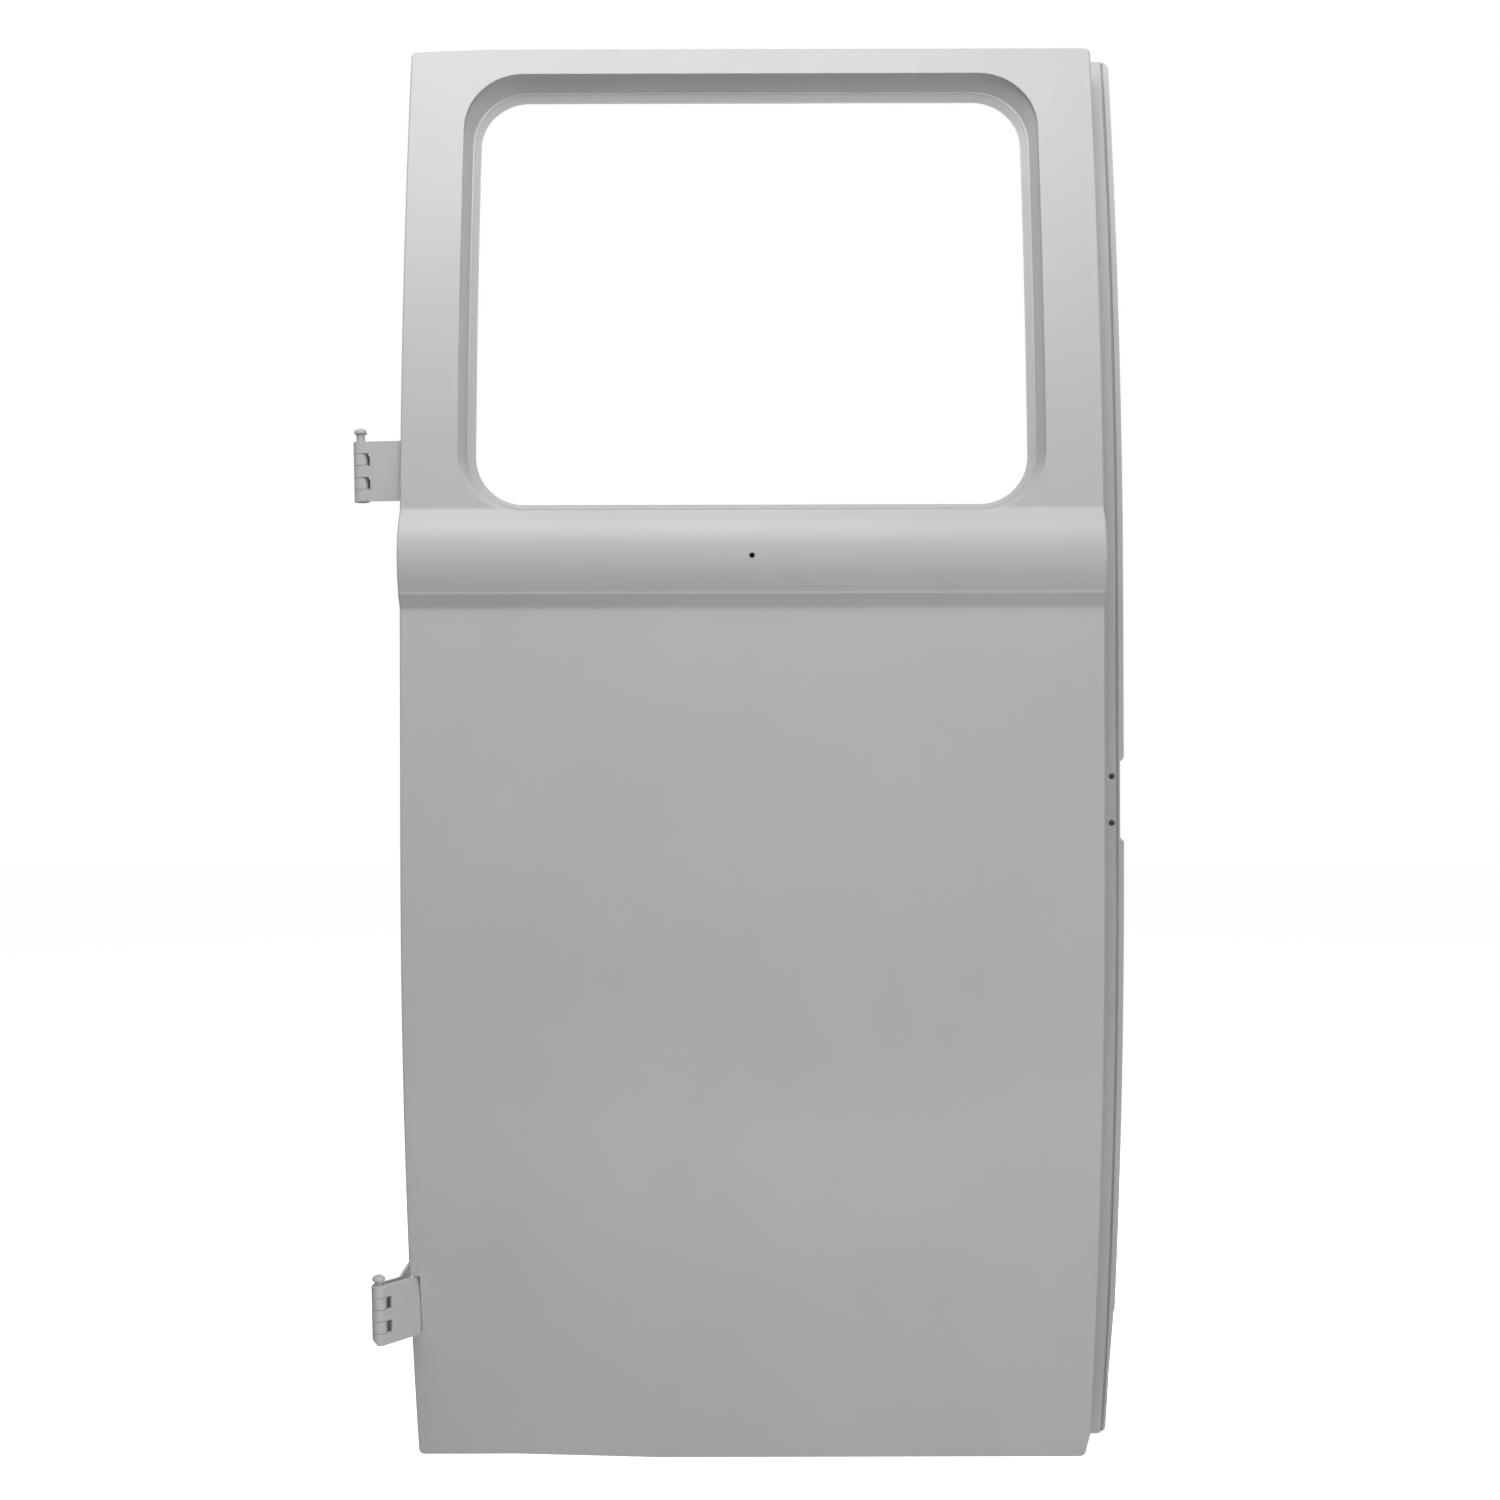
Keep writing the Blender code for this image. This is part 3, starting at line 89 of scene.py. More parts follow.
class Wave:
    """A shader socket that adds its own Math nodes when it is used in sums and products."""

    def __init__(self, tree, socket):
        self.tree = tree
        self.socket = socket

    def math(self, operation, *others):
        node = self.tree.nodes.new("ShaderNodeMath")
        node.operation = operation
        for i, value in enumerate((self, *others)):
            if isinstance(value, Wave):
                self.tree.links.new(value.socket, node.inputs[i])
            else:
                node.inputs[i].default_value = value
        return Wave(self.tree, node.outputs[0])

    def __add__(self, other):
        return self.math("ADD", other)

    def __mul__(self, other):
        return self.math("MULTIPLY", other)

    def __sub__(self, other):
        return self.math("SUBTRACT", other)

    def __rsub__(self, other):
        return self.math("MULTIPLY", -1.0) + other

    __radd__ = __add__
    __rmul__ = __mul__


def add_node(tree, kind, settings=None, **sockets):
    """A shader node, with its settings first and then its sockets' values or links."""
    node = tree.nodes.new(kind)
    for name, value in (settings or {}).items():
        setattr(node, name, value)
    for name, value in sockets.items():
        socket = node.inputs[name.replace("_", " ")]
        if isinstance(value, Wave):
            tree.links.new(value.socket, socket)
        elif hasattr(value, "is_output"):
            tree.links.new(value, socket)
        else:
            socket.default_value = value
    return node

world = bpy.data.worlds.new("studio_world")
scene.world = world
world.use_nodes = True
sky = world.node_tree
sky.nodes.clear()
rays = add_node(sky, "ShaderNodeLightPath").outputs
seen_white = Wave(sky, rays["Is Camera Ray"]) + Wave(sky, rays["Is Glossy Ray"])
seen_white = seen_white + Wave(sky, rays["Is Transmission Ray"])
room_mix = add_node(sky, "ShaderNodeMixShader", Fac=seen_white.math("MINIMUM", 1.0))
sky.links.new(add_node(sky, "ShaderNodeBackground", Color=WORLD_GREY).outputs[0], room_mix.inputs[1])
sky.links.new(add_node(sky, "ShaderNodeBackground", Color=WHITE).outputs[0], room_mix.inputs[2])
add_node(sky, "ShaderNodeOutputWorld", Surface=room_mix.outputs[0])

door_middle = DOOR_ORIGIN + Vector((0.0, 0.0, 0.6))


def softbox(name, offset, aim, width, height, watts):
    """A large rectangular lamp, placed and aimed from the door's middle."""
    lamp = bpy.data.lights.new(name, "AREA")
    lamp.shape = "RECTANGLE"
    lamp.size = width
    lamp.size_y = height
    lamp.energy = watts
    made = bpy.data.objects.new(name, lamp)
    made.location = door_middle + Vector(offset)
    made.rotation_euler = (Vector(aim) - Vector(offset)).to_track_quat("-Z", "Y").to_euler()
    scene.collection.objects.link(made)


softbox("overhead_softbox", (-0.2, -1.3, 2.2), (0.0, 0.0, 0.3), 2.4, 1.6, 39.5)
softbox("header_softbox", (-0.2, -0.8, 1.25), (0.0, 0.0, 0.4), 1.6, 0.5, 6.8)
softbox("foot_softbox", (0.1, -0.8, -0.95), (0.0, 0.0, -0.55), 1.4, 0.4, 11.0)
softbox("rear_softbox", (0.9, 2.3, 0.6), (0.0, 0.0, 0.0), 2.0, 1.6, 27.0)
softbox("right_softbox", (2.0, -1.2, 0.2), (0.0, 0.0, 0.0), 1.0, 2.0, 8.0)

floor_mesh = bmesh.new()
bmesh.ops.create_grid(floor_mesh, x_segments=1, y_segments=1, size=FLOOR_HALF)
bmesh.ops.translate(floor_mesh, vec=DOOR_ORIGIN - Vector((0.0, 0.0, FLOOR_DROP)), verts=floor_mesh.verts[:])
floor_data = bpy.data.meshes.new("floor")
floor_mesh.to_mesh(floor_data)
floor_mesh.free()
floor = bpy.data.objects.new("floor", floor_data)
scene.collection.objects.link(floor)

floor_paint = bpy.data.materials.new("floor_paint")
floor_paint.use_nodes = True
paint_tree = floor_paint.node_tree
paint_tree.nodes.clear()
floor_matt = add_node(paint_tree, "ShaderNodeBsdfDiffuse", Color=FLOOR_GREY).outputs[0]
floor_glow = add_node(paint_tree, "ShaderNodeEmission", Color=WHITE, Strength=FLOOR_GLOW).outputs[0]
floor_both = add_node(paint_tree, "ShaderNodeAddShader")
paint_tree.links.new(floor_matt, floor_both.inputs[0])
paint_tree.links.new(floor_glow, floor_both.inputs[1])
floor_mix = add_node(paint_tree, "ShaderNodeMixShader",
                     Fac=add_node(paint_tree, "ShaderNodeLightPath").outputs["Is Camera Ray"])
paint_tree.links.new(floor_matt, floor_mix.inputs[1])
paint_tree.links.new(floor_both.outputs[0], floor_mix.inputs[2])
add_node(paint_tree, "ShaderNodeOutputMaterial", Surface=floor_mix.outputs[0])
floor_data.materials.append(floor_paint)

# Primer. Every pressing is dipped and sprayed in one light grey satin primer, so all of them
# share it: a fine dry grain and faint cloudy bands where the coats overlap.

PRIMER_GREY = (0.560, 0.560, 0.560, 1.0)
PRIMER_THIN = (0.500, 0.500, 0.503, 1.0)
GRAIN_HEIGHT = 0.0001


def primer_paint(name):
    """Satin primer with a dry grain and faint clouds of thinner coat."""
    paint = bpy.data.materials.new(name)
    paint.use_nodes = True
    tree = paint.node_tree
    shader = tree.nodes["Principled BSDF"]
    places = add_node(tree, "ShaderNodeTexCoord").outputs["Object"]
    clouds = Wave(tree, add_node(tree, "ShaderNodeTexNoise", Vector=places, Scale=7.0, Detail=3.0,
                                 Roughness=0.55).outputs["Fac"])
    grain = Wave(tree, add_node(tree, "ShaderNodeTexNoise", Vector=places, Scale=900.0, Detail=2.0,
                                Roughness=0.6).outputs["Fac"])
    peel = Wave(tree, add_node(tree, "ShaderNodeTexNoise", Vector=places, Scale=260.0, Detail=1.0,
                               Roughness=0.5).outputs["Fac"])
    cover = (clouds - 0.5) * 0.9 + (grain - 0.5) * 0.35
    colour = add_node(tree, "ShaderNodeMix", {"data_type": "RGBA", "clamp_factor": True})
    tree.links.new((cover + 0.3).socket, colour.inputs["Factor"])
    colour.inputs["A"].default_value = PRIMER_GREY
    colour.inputs["B"].default_value = PRIMER_THIN
    tree.links.new(colour.outputs["Result"], shader.inputs["Base Color"])
    tree.links.new((clouds * 0.10 + grain * 0.06 + 0.36).socket, shader.inputs["Roughness"])
    shader.inputs["Specular IOR Level"].default_value = 0.5
    bump = add_node(tree, "ShaderNodeBump", Strength=0.25, Distance=GRAIN_HEIGHT,
                    Height=grain * 0.45 + peel * 0.55)
    tree.links.new(bump.outputs["Normal"], shader.inputs["Normal"])
    return paint


primer = primer_paint("grey_primer")

# Outer skin. One pressing of 1 mm steel: the panel, the belt swage, the window's raked recess
# and seal flange, and a hem folded round the edges that grips the inner frame.

DOOR_WIDTH = 0.588
DOOR_HEIGHT = 1.229
HALF_WIDTH = DOOR_WIDTH / 2
CORNER_R = 0.005
TOP_FALL = 0.0025
TOP_FALL_LENGTH = 0.065
BOTTOM_RISE = 0.004
BOTTOM_RISE_LENGTH = 0.088
BOTTOM_RAMP_LENGTH = 0.125
CORNER_CUT_WIDTH = 0.003
CORNER_CUT_HEIGHT = 0.022

SKIN_SHEET = 0.0010
INNER_SHEET = 0.0012
FIT_GAP = 0.0003
HEM_THICK = 2 * SKIN_SHEET + INNER_SHEET + 2 * FIT_GAP
HEM_R = HEM_THICK / 2
HEM_WIDTH = 0.0068
HEM_STEPS = 14
FRAME_DEPTH = 0.0277
RAIL_WIDTH = 0.0350

LOWER_ARC_R = 1.792
LOWER_ARC_TOP_Z = 0.529
PANEL_SETBACK = 0.0126
BELT_CROWN_Z = 0.782
BELT_LOWER_R = 0.075
BELT_LOWER_RUN = 0.0284
SHOULDER_RUN = 0.0036
SHOULDER_DROP = 0.0008
FALL_RUN = 0.0085
FALL_FILLET_RUN = 0.0060
FALL_FILLET_DROP = 0.0008
BELT_UPPER_R = 0.060
BELT_UPPER_RUN = 0.039
UPPER_LEAN = 0.0474
UPPER_ARC_R = 2.137
BELT_HOLE_D = 0.0045

BELT_ARC_FOOT_Z = BELT_CROWN_Z - BELT_LOWER_RUN
SHOULDER_Z = BELT_ARC_FOOT_Z - SHOULDER_RUN
FALL_Z = SHOULDER_Z - FALL_RUN
PANEL_TOP_Z = FALL_Z - FALL_FILLET_RUN
BELT_CREASE_Z = BELT_CROWN_Z + BELT_UPPER_RUN


def arc_sag(radius, run):
    """Depth that an arc has fallen away from its tangent after a run."""
    return radius - math.sqrt(radius * radius - run * run)


def upper_line(z):
    """Depth of the panel round the window."""
    rise = z - BELT_CREASE_Z
    return arc_sag(BELT_UPPER_R, BELT_UPPER_RUN) + UPPER_LEAN * rise + arc_sag(UPPER_ARC_R, rise)


def lower_line(z):
    """Depth of the lower panel."""
    return PANEL_SETBACK + arc_sag(LOWER_ARC_R, max(LOWER_ARC_TOP_Z - z, 0.0))


def smooth_between(z, low, high, low_value, low_slope, high_value, high_slope):
    """Value on a curve that leaves and meets its neighbours along their own slopes."""
    run = high - low
    t = (z - low) / run
    return ((1 + 2 * t) * (1 - t) ** 2 * low_value + t * (1 - t) ** 2 * run * low_slope
            + t * t * (3 - 2 * t) * high_value - t * t * (1 - t) * run * high_slope)


ARC_FOOT_DEPTH = arc_sag(BELT_LOWER_R, BELT_LOWER_RUN)
SHOULDER_DEPTH = ARC_FOOT_DEPTH + SHOULDER_DROP
FALL_DEPTH = PANEL_SETBACK - FALL_FILLET_DROP
FALL_SLOPE = -(FALL_DEPTH - SHOULDER_DEPTH) / FALL_RUN
CREASE_BLEND = 0.0035


def skin_line(z):
    """Depth of the outer skin behind the crown of its belt."""
    if z <= PANEL_TOP_Z:
        return lower_line(z)
    if z <= FALL_Z:
        return smooth_between(z, PANEL_TOP_Z, FALL_Z, PANEL_SETBACK, 0.0, FALL_DEPTH, FALL_SLOPE)
    if z <= SHOULDER_Z:
        return FALL_DEPTH + FALL_SLOPE * (z - FALL_Z)
    if z <= BELT_ARC_FOOT_Z:
        arc_slope = -BELT_LOWER_RUN / math.sqrt(BELT_LOWER_R ** 2 - BELT_LOWER_RUN ** 2)
        return smooth_between(z, SHOULDER_Z, BELT_ARC_FOOT_Z, SHOULDER_DEPTH, FALL_SLOPE,
                              ARC_FOOT_DEPTH, arc_slope)
    if z <= BELT_CROWN_Z:
        return arc_sag(BELT_LOWER_R, BELT_CROWN_Z - z)
    crease_low = BELT_CREASE_Z - CREASE_BLEND
    crease_high = BELT_CREASE_Z + CREASE_BLEND
    if z <= crease_low:
        return arc_sag(BELT_UPPER_R, z - BELT_CROWN_Z)
    if z <= crease_high:
        run = crease_low - BELT_CROWN_Z
        low_slope = run / math.sqrt(BELT_UPPER_R ** 2 - run ** 2)
        return smooth_between(z, crease_low, crease_high, arc_sag(BELT_UPPER_R, run), low_slope,
                              upper_line(crease_high), UPPER_LEAN)
    return upper_line(z)


def frame_line(z):
    """Depth of the inner frame, which runs straight past the belt."""
    if z <= PANEL_TOP_Z:
        return lower_line(z)
    if z >= BELT_CREASE_Z:
        return upper_line(z)
    share = (z - PANEL_TOP_Z) / (BELT_CREASE_Z - PANEL_TOP_Z)
    return PANEL_SETBACK + (upper_line(BELT_CREASE_Z) - PANEL_SETBACK) * share


REAR_MID_DEPTH = FRAME_DEPTH - INNER_SHEET / 2


def body_shift(depth, z):
    """How far the body side carries a point of the flat door inboard."""
    share = min(max((depth - HEM_THICK) / (REAR_MID_DEPTH - HEM_THICK - RAIL_WIDTH / 4), 0.0), 1.0)
    return skin_line(z) + (frame_line(z) - skin_line(z)) * share


def spread(low, high, steps):
    """Heights at equal steps from low to high, both included."""
    return [low + (high - low) * i / steps for i in range(steps + 1)]


STATIONS = sorted(set(
    spread(0.0, LOWER_ARC_TOP_Z, 40) + spread(PANEL_TOP_Z, FALL_Z, 5) + [SHOULDER_Z]
    + spread(SHOULDER_Z, BELT_ARC_FOOT_Z, 4) + spread(BELT_ARC_FOOT_Z, BELT_CROWN_Z, 14)
    + spread(BELT_CROWN_Z, BELT_CREASE_Z - CREASE_BLEND, 16)
    + spread(BELT_CREASE_Z - CREASE_BLEND, BELT_CREASE_Z + CREASE_BLEND, 6)
    + spread(BELT_CREASE_Z + CREASE_BLEND, DOOR_HEIGHT, 30)))


def cut_at(bm, place, normal, test=None):
    """Cut a mesh along a plane, or only those of its faces whose middle passes a test."""
    faces = [face for face in bm.faces if test is None or test(face.calc_center_median())]
    geometry = faces + list(dict.fromkeys(edge for face in faces for edge in face.edges))
    geometry += list(dict.fromkeys(vert for face in faces for vert in face.verts))
    bmesh.ops.bisect_plane(bm, geom=geometry, dist=1e-6, plane_co=place, plane_no=normal)


def bend_to_body(bm):
    """Cut a flat pressing at the stations and bend it to the body side."""
    for z in STATIONS:
        cut_at(bm, (0.0, 0.0, z), (0.0, 0.0, 1.0))
    for vert in bm.verts:
        vert.co.y += body_shift(vert.co.y, vert.co.z)


def settle(bm, name, paint, slot, body, *nodes, smooth_deg=32.0, offset=DOOR_ORIGIN):
    """Carry a finished mesh to the frame, and make it a piece that stands for CAD nodes."""
    bmesh.ops.remove_doubles(bm, verts=bm.verts[:], dist=1e-6)
    bare_edges = [edge for edge in bm.edges if not edge.link_faces]
    bmesh.ops.delete(bm, geom=bare_edges, context="EDGES")
    bmesh.ops.translate(bm, vec=offset, verts=bm.verts[:])
    data = bpy.data.meshes.new(name)
    bm.to_mesh(data)
    bm.free()
    data.materials.append(paint)
    data.shade_smooth()
    data.set_sharp_from_angle(angle=math.radians(smooth_deg))
    made = bpy.data.objects.new(name, data)
    scene.collection.objects.link(made)
    true_normals = made.modifiers.new("true_normals", "WEIGHTED_NORMAL")
    true_normals.keep_sharp = True
    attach(made, body)
    if nodes:
        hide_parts(*nodes)
    return made


def loop_edges(bm, verts):
    """Edges that close a ring of corners."""
    return [bm.edges.get(pair) or bm.edges.new(pair) for pair in zip(verts, verts[1:] + verts[:1])]


def arc(centre, radius, start_deg, end_deg, steps):
    """Points along an arc, both ends included."""
    points = []
    for i in range(steps + 1):
        angle = math.radians(start_deg + (end_deg - start_deg) * i / steps)
        points.append((centre[0] + radius * math.cos(angle), centre[1] + radius * math.sin(angle)))
    return points


DOOR_CORNER_STEPS = 8


def door_ring(bm, inset, depth):
    """One ring of the door's outline, moved in from its edge."""
    radius = CORNER_R - inset
    rise_x = -HALF_WIDTH + BOTTOM_RISE_LENGTH
    high_left = DOOR_HEIGHT - TOP_FALL - CORNER_R
    points = [(rise_x, BOTTOM_RISE + inset), (rise_x + BOTTOM_RAMP_LENGTH, inset)]
    points += arc((HALF_WIDTH - CORNER_CUT_WIDTH - CORNER_R, CORNER_R), radius, -90, 0, DOOR_CORNER_STEPS)
    points += [(HALF_WIDTH - inset, CORNER_CUT_HEIGHT)]
    points += arc((HALF_WIDTH - CORNER_R, DOOR_HEIGHT - CORNER_R), radius, 0, 90, DOOR_CORNER_STEPS)
    points += [(-HALF_WIDTH + TOP_FALL_LENGTH, DOOR_HEIGHT - inset)]
    points += arc((-HALF_WIDTH + CORNER_R, high_left), radius, 90, 180, DOOR_CORNER_STEPS)
    low_left = BOTTOM_RISE + CORNER_R
    points += arc((-HALF_WIDTH + CORNER_R, low_left), radius, 180, 270, DOOR_CORNER_STEPS)
    return [bm.verts.new((x, depth, z)) for x, z in points]


WINDOW_WIDTH = 0.467
WINDOW_SILL = 0.0075
WINDOW_HEADER = 0.0436
WINDOW_SILL_Z = BELT_CREASE_Z + WINDOW_SILL
WINDOW_HEIGHT = DOOR_HEIGHT - WINDOW_HEADER - WINDOW_SILL_Z
WINDOW_CORNER_R = 0.041
RECESS_CORNER_R = 0.050
RECESS_DEPTH = 0.018
SEAL_FLANGE = (0.0068, 0.0089, 0.0048)
WALL_RAKE = (0.0046, 0.0097, 0.0013)
EDGE_ROLL = 0.0016
STEEP_DEPTH = 0.0050
MOUTH_ROLL = ((0.0, 0.0), (0.00025, 0.0001), (0.0004, 0.0004), (0.0006, STEEP_DEPTH))
BEAD_WIDTH = 0.0014
BEAD_HEIGHT = 0.0005
BEAD_ROLL = 0.0002
CUT_EDGE = 0.0006
FLANGE_RAKE = 0.0028
WINDOW_CORNER_STEPS = 20


def window_ring(bm, grow, radius, depth):
    """One ring of the window's outline, grown at the sides, the top and the sill."""
    side, top, sill = grow
    half = WINDOW_WIDTH / 2 + side
    low = WINDOW_SILL_Z - sill
    high = WINDOW_SILL_Z + WINDOW_HEIGHT + top
    points = []
    for x, z, start in ((half, low, -90), (half, high, 0), (-half, high, 90), (-half, low, 180)):
        centre = (x - math.copysign(radius, x), z + radius if z == low else z - radius)
        points += arc(centre, radius, start, start + 90, WINDOW_CORNER_STEPS)
    return [bm.verts.new((x, depth, z)) for x, z in points]


def grown(base, amount):
    """The three growths of a window ring, each changed by one amount."""
    return tuple(value + amount for value in base)


def bridge(bm, first, second):
    """A band of faces between two rings with the same number of corners."""
    for i, corner in enumerate(first):
        j = (i + 1) % len(first)
        bm.faces.new((corner, first[j], second[j], second[i]))


def hole_ring(bm, centre, radius, axis, steps=28):
    """One ring of corners round a hole whose axis is named."""
    turn = {"X": Matrix.Rotation(math.radians(90.0), 4, "Y"),
            "Y": Matrix.Rotation(math.radians(90.0), 4, "X")}[axis]
    ring = bmesh.ops.create_circle(bm, segments=steps, radius=radius,
                                   matrix=Matrix.Translation(centre) @ turn)["verts"]
    across = turn @ Vector((1.0, 0.0, 0.0))
    up = turn @ Vector((0.0, 1.0, 0.0))

    def turned(vert):
        arm = vert.co - Vector(centre)
        return (math.atan2(arm.dot(up), arm.dot(across)) + 0.01) % math.tau

    return sorted(ring, key=turned)


def surface_of(bm, outline, holes, normal):
    """Flat faces that fill an outline and leave its holes open."""
    edges = loop_edges(bm, outline)
    for ring in holes:
        edges += loop_edges(bm, ring)
    bmesh.ops.triangle_fill(bm, edges=edges, use_beauty=True, normal=normal)


def thicken_behind(bm, thickness):
    """Turn a sheet's faces to the front, and give it its thickness behind them."""
    bmesh.ops.recalc_face_normals(bm, faces=bm.faces[:])
    if min(bm.faces, key=lambda face: face.calc_center_median().y).normal.y > 0:
        bmesh.ops.reverse_faces(bm, faces=bm.faces[:])
    bm.normal_update()
    bmesh.ops.solidify(bm, geom=bm.faces[:], thickness=thickness)


skin = bmesh.new()
recess_mouth = tuple(a + b for a, b in zip(SEAL_FLANGE, WALL_RAKE))
foot_r = WINDOW_CORNER_R + SEAL_FLANGE[0]
bead_top = RECESS_DEPTH - BEAD_HEIGHT
window_rings = [window_ring(skin, grown(recess_mouth, EDGE_ROLL - closed), RECESS_CORNER_R, depth)
                for closed, depth in MOUTH_ROLL]
window_rings += [
    window_ring(skin, grown(SEAL_FLANGE, BEAD_ROLL), foot_r, bead_top - BEAD_ROLL),
    window_ring(skin, SEAL_FLANGE, foot_r, bead_top),
    window_ring(skin, grown(SEAL_FLANGE, -BEAD_WIDTH), foot_r, bead_top),
    window_ring(skin, grown(SEAL_FLANGE, -BEAD_WIDTH - BEAD_HEIGHT / 2), foot_r, RECESS_DEPTH),
    window_ring(skin, (CUT_EDGE, CUT_EDGE, CUT_EDGE), WINDOW_CORNER_R + CUT_EDGE,
                RECESS_DEPTH + FLANGE_RAKE),
    window_ring(skin, (0.0, 0.0, 0.0), WINDOW_CORNER_R, RECESS_DEPTH + FLANGE_RAKE)]
hem_rings = []
for step in range(HEM_STEPS + 1):
    fold = math.pi * step / HEM_STEPS
    hem_rings.append(door_ring(skin, HEM_R * (1 - math.sin(fold)), HEM_R * (1 - math.cos(fold))))
belt_hole = hole_ring(skin, (0.0, 0.0, BELT_CROWN_Z), BELT_HOLE_D / 2, "Y", 32)
surface_of(skin, hem_rings[0], [window_rings[0], belt_hole], (0, -1, 0))
for rings in (window_rings, hem_rings):
    for ring, deeper in zip(rings, rings[1:]):
        bridge(skin, ring, deeper)

# The fold's flap turns in behind the frame's flange, to a straight edge on each side.
folded = hem_rings[-1]
flap = []
for vert in folded:
    x = max(-HALF_WIDTH + HEM_WIDTH, min(HALF_WIDTH - HEM_WIDTH, vert.co.x))
    z = max(BOTTOM_RISE + HEM_WIDTH, min(DOOR_HEIGHT - TOP_FALL - HEM_WIDTH, vert.co.z))
    flap.append(skin.verts.new((x, HEM_THICK, z)))
for i, vert in enumerate(folded):
    j = (i + 1) % len(folded)
    if flap[i].co == flap[j].co:
        skin.faces.new((vert, folded[j], flap[i]))
    else:
        skin.faces.new((vert, folded[j], flap[j], flap[i]))
bmesh.ops.remove_doubles(skin, verts=flap, dist=1e-6)

# A notch in the edge lets the lower hinge's leaf pass to the rail.
LOWER_HINGE_Z = 0.1466
NOTCH_HALF = 0.0257
NOTCH_RISE = 0.0005
NOTCH_Z = LOWER_HINGE_Z + NOTCH_RISE
NOTCH_WIDTH = 0.0090
cut_at(skin, (0.0, 0.0, NOTCH_Z - NOTCH_HALF), (0.0, 0.0, 1.0))
cut_at(skin, (0.0, 0.0, NOTCH_Z + NOTCH_HALF), (0.0, 0.0, 1.0))
cut_at(skin, (-HALF_WIDTH + NOTCH_WIDTH, 0.0, 0.0), (1.0, 0.0, 0.0))
notched = [face for face in skin.faces
           if face.calc_center_median().x < -HALF_WIDTH + NOTCH_WIDTH
           and abs(face.calc_center_median().z - NOTCH_Z) < NOTCH_HALF]
bmesh.ops.delete(skin, geom=notched, context="FACES")
thicken_behind(skin, SKIN_SHEET)
bend_to_body(skin)
settle(skin, "pressed_skin", primer, "primer", "door", "outer_skin", smooth_deg=14.5)

# Meeting flange. A 1.2 mm strip on the back of the lock side rail that the front door closes
# against: a pressed groove down its length, rounded ends, a shallow notch and two striker holes.

FRAME_REAR = FRAME_DEPTH + FIT_GAP
LIP_X = HALF_WIDTH + 0.021
MEETING_INNER_X = LIP_X - 0.051
MEETING_LOW_Z = 0.011
MEETING_HIGH_Z = DOOR_HEIGHT - 0.002
LIP_CORNER_R = 0.008
LIP_TAPER_Z = 0.069
LIP_TAPER = 0.0025
LIP_STEP_Z = 0.130
LIP_STEP = 0.0008
STRIKER_Z = 0.578
STRIKER_NOTCH_HEIGHT = 0.0645
STRIKER_NOTCH_DEPTH = 0.0032
STRIKER_INSET = 0.0102
STRIKER_SPACING = 0.0396
STRIKER_HOLE_D = 0.0050
HOLE_DISH = 0.0005
GROOVE_INSET = 0.0058
GROOVE_WIDTH = 0.0026
GROOVE_DEPTH = 0.0024
GROOVE_BACK = 0.0004
GROOVE_CUTS = 16

strip = bmesh.new()
notch_x = LIP_X - STRIKER_NOTCH_DEPTH
notch_half = STRIKER_NOTCH_HEIGHT / 2
outline = [(MEETING_INNER_X, MEETING_LOW_Z)]
outline += arc((LIP_X - LIP_TAPER - LIP_CORNER_R, MEETING_LOW_Z + LIP_CORNER_R), LIP_CORNER_R, -90, 0, 12)
outline += [(LIP_X - LIP_TAPER, LIP_TAPER_Z), (LIP_X - LIP_STEP, LIP_STEP_Z),
            (LIP_X, LIP_STEP_Z + LIP_STEP), (LIP_X, STRIKER_Z - notch_half - STRIKER_NOTCH_DEPTH),
            (notch_x, STRIKER_Z - notch_half), (notch_x, STRIKER_Z + notch_half),
            (LIP_X, STRIKER_Z + notch_half + STRIKER_NOTCH_DEPTH)]
outline += arc((LIP_X - LIP_CORNER_R, MEETING_HIGH_Z - LIP_CORNER_R), LIP_CORNER_R, 0, 90, 12)
outline.append((MEETING_INNER_X, MEETING_HIGH_Z))
outline = [strip.verts.new((x, FRAME_REAR, z)) for x, z in outline]
striker_holes = [(LIP_X - STRIKER_INSET, STRIKER_Z + side * STRIKER_SPACING / 2) for side in (-1, 1)]
mouths = [hole_ring(strip, (x, FRAME_REAR, z), STRIKER_HOLE_D / 2 + HOLE_DISH, "Y")
          for x, z in striker_holes]
surface_of(strip, outline, mouths, (0, -1, 0))
for (x, z), mouth in zip(striker_holes, mouths):
    bridge(strip, mouth, hole_ring(strip, (x, FRAME_REAR + HOLE_DISH, z), STRIKER_HOLE_D / 2, "Y"))
groove_x = LIP_X - GROOVE_INSET
groove_reach = GROOVE_WIDTH / 2 + GROOVE_BACK
for cut in spread(groove_x - groove_reach, groove_x + groove_reach, GROOVE_CUTS):
    cut_at(strip, (cut, 0.0, 0.0), (1.0, 0.0, 0.0))
thicken_behind(strip, INNER_SHEET)
for vert in strip.verts:
    reach = groove_reach if vert.co.y > FRAME_REAR + INNER_SHEET / 2 else GROOVE_WIDTH / 2
    off = min(abs(vert.co.x - groove_x) / reach, 1.0)
    vert.co.y += GROOVE_DEPTH * (0.5 + 0.5 * math.cos(math.pi * off))
bend_to_body(strip)
settle(strip, "meeting_strip", primer, "primer", "door", "meeting_flange")

# Striker plate. A block of steel, 62 mm high, welded behind the meeting flange, with two blind
# threaded holes for the screws of the striker. The body side is flat at its height.

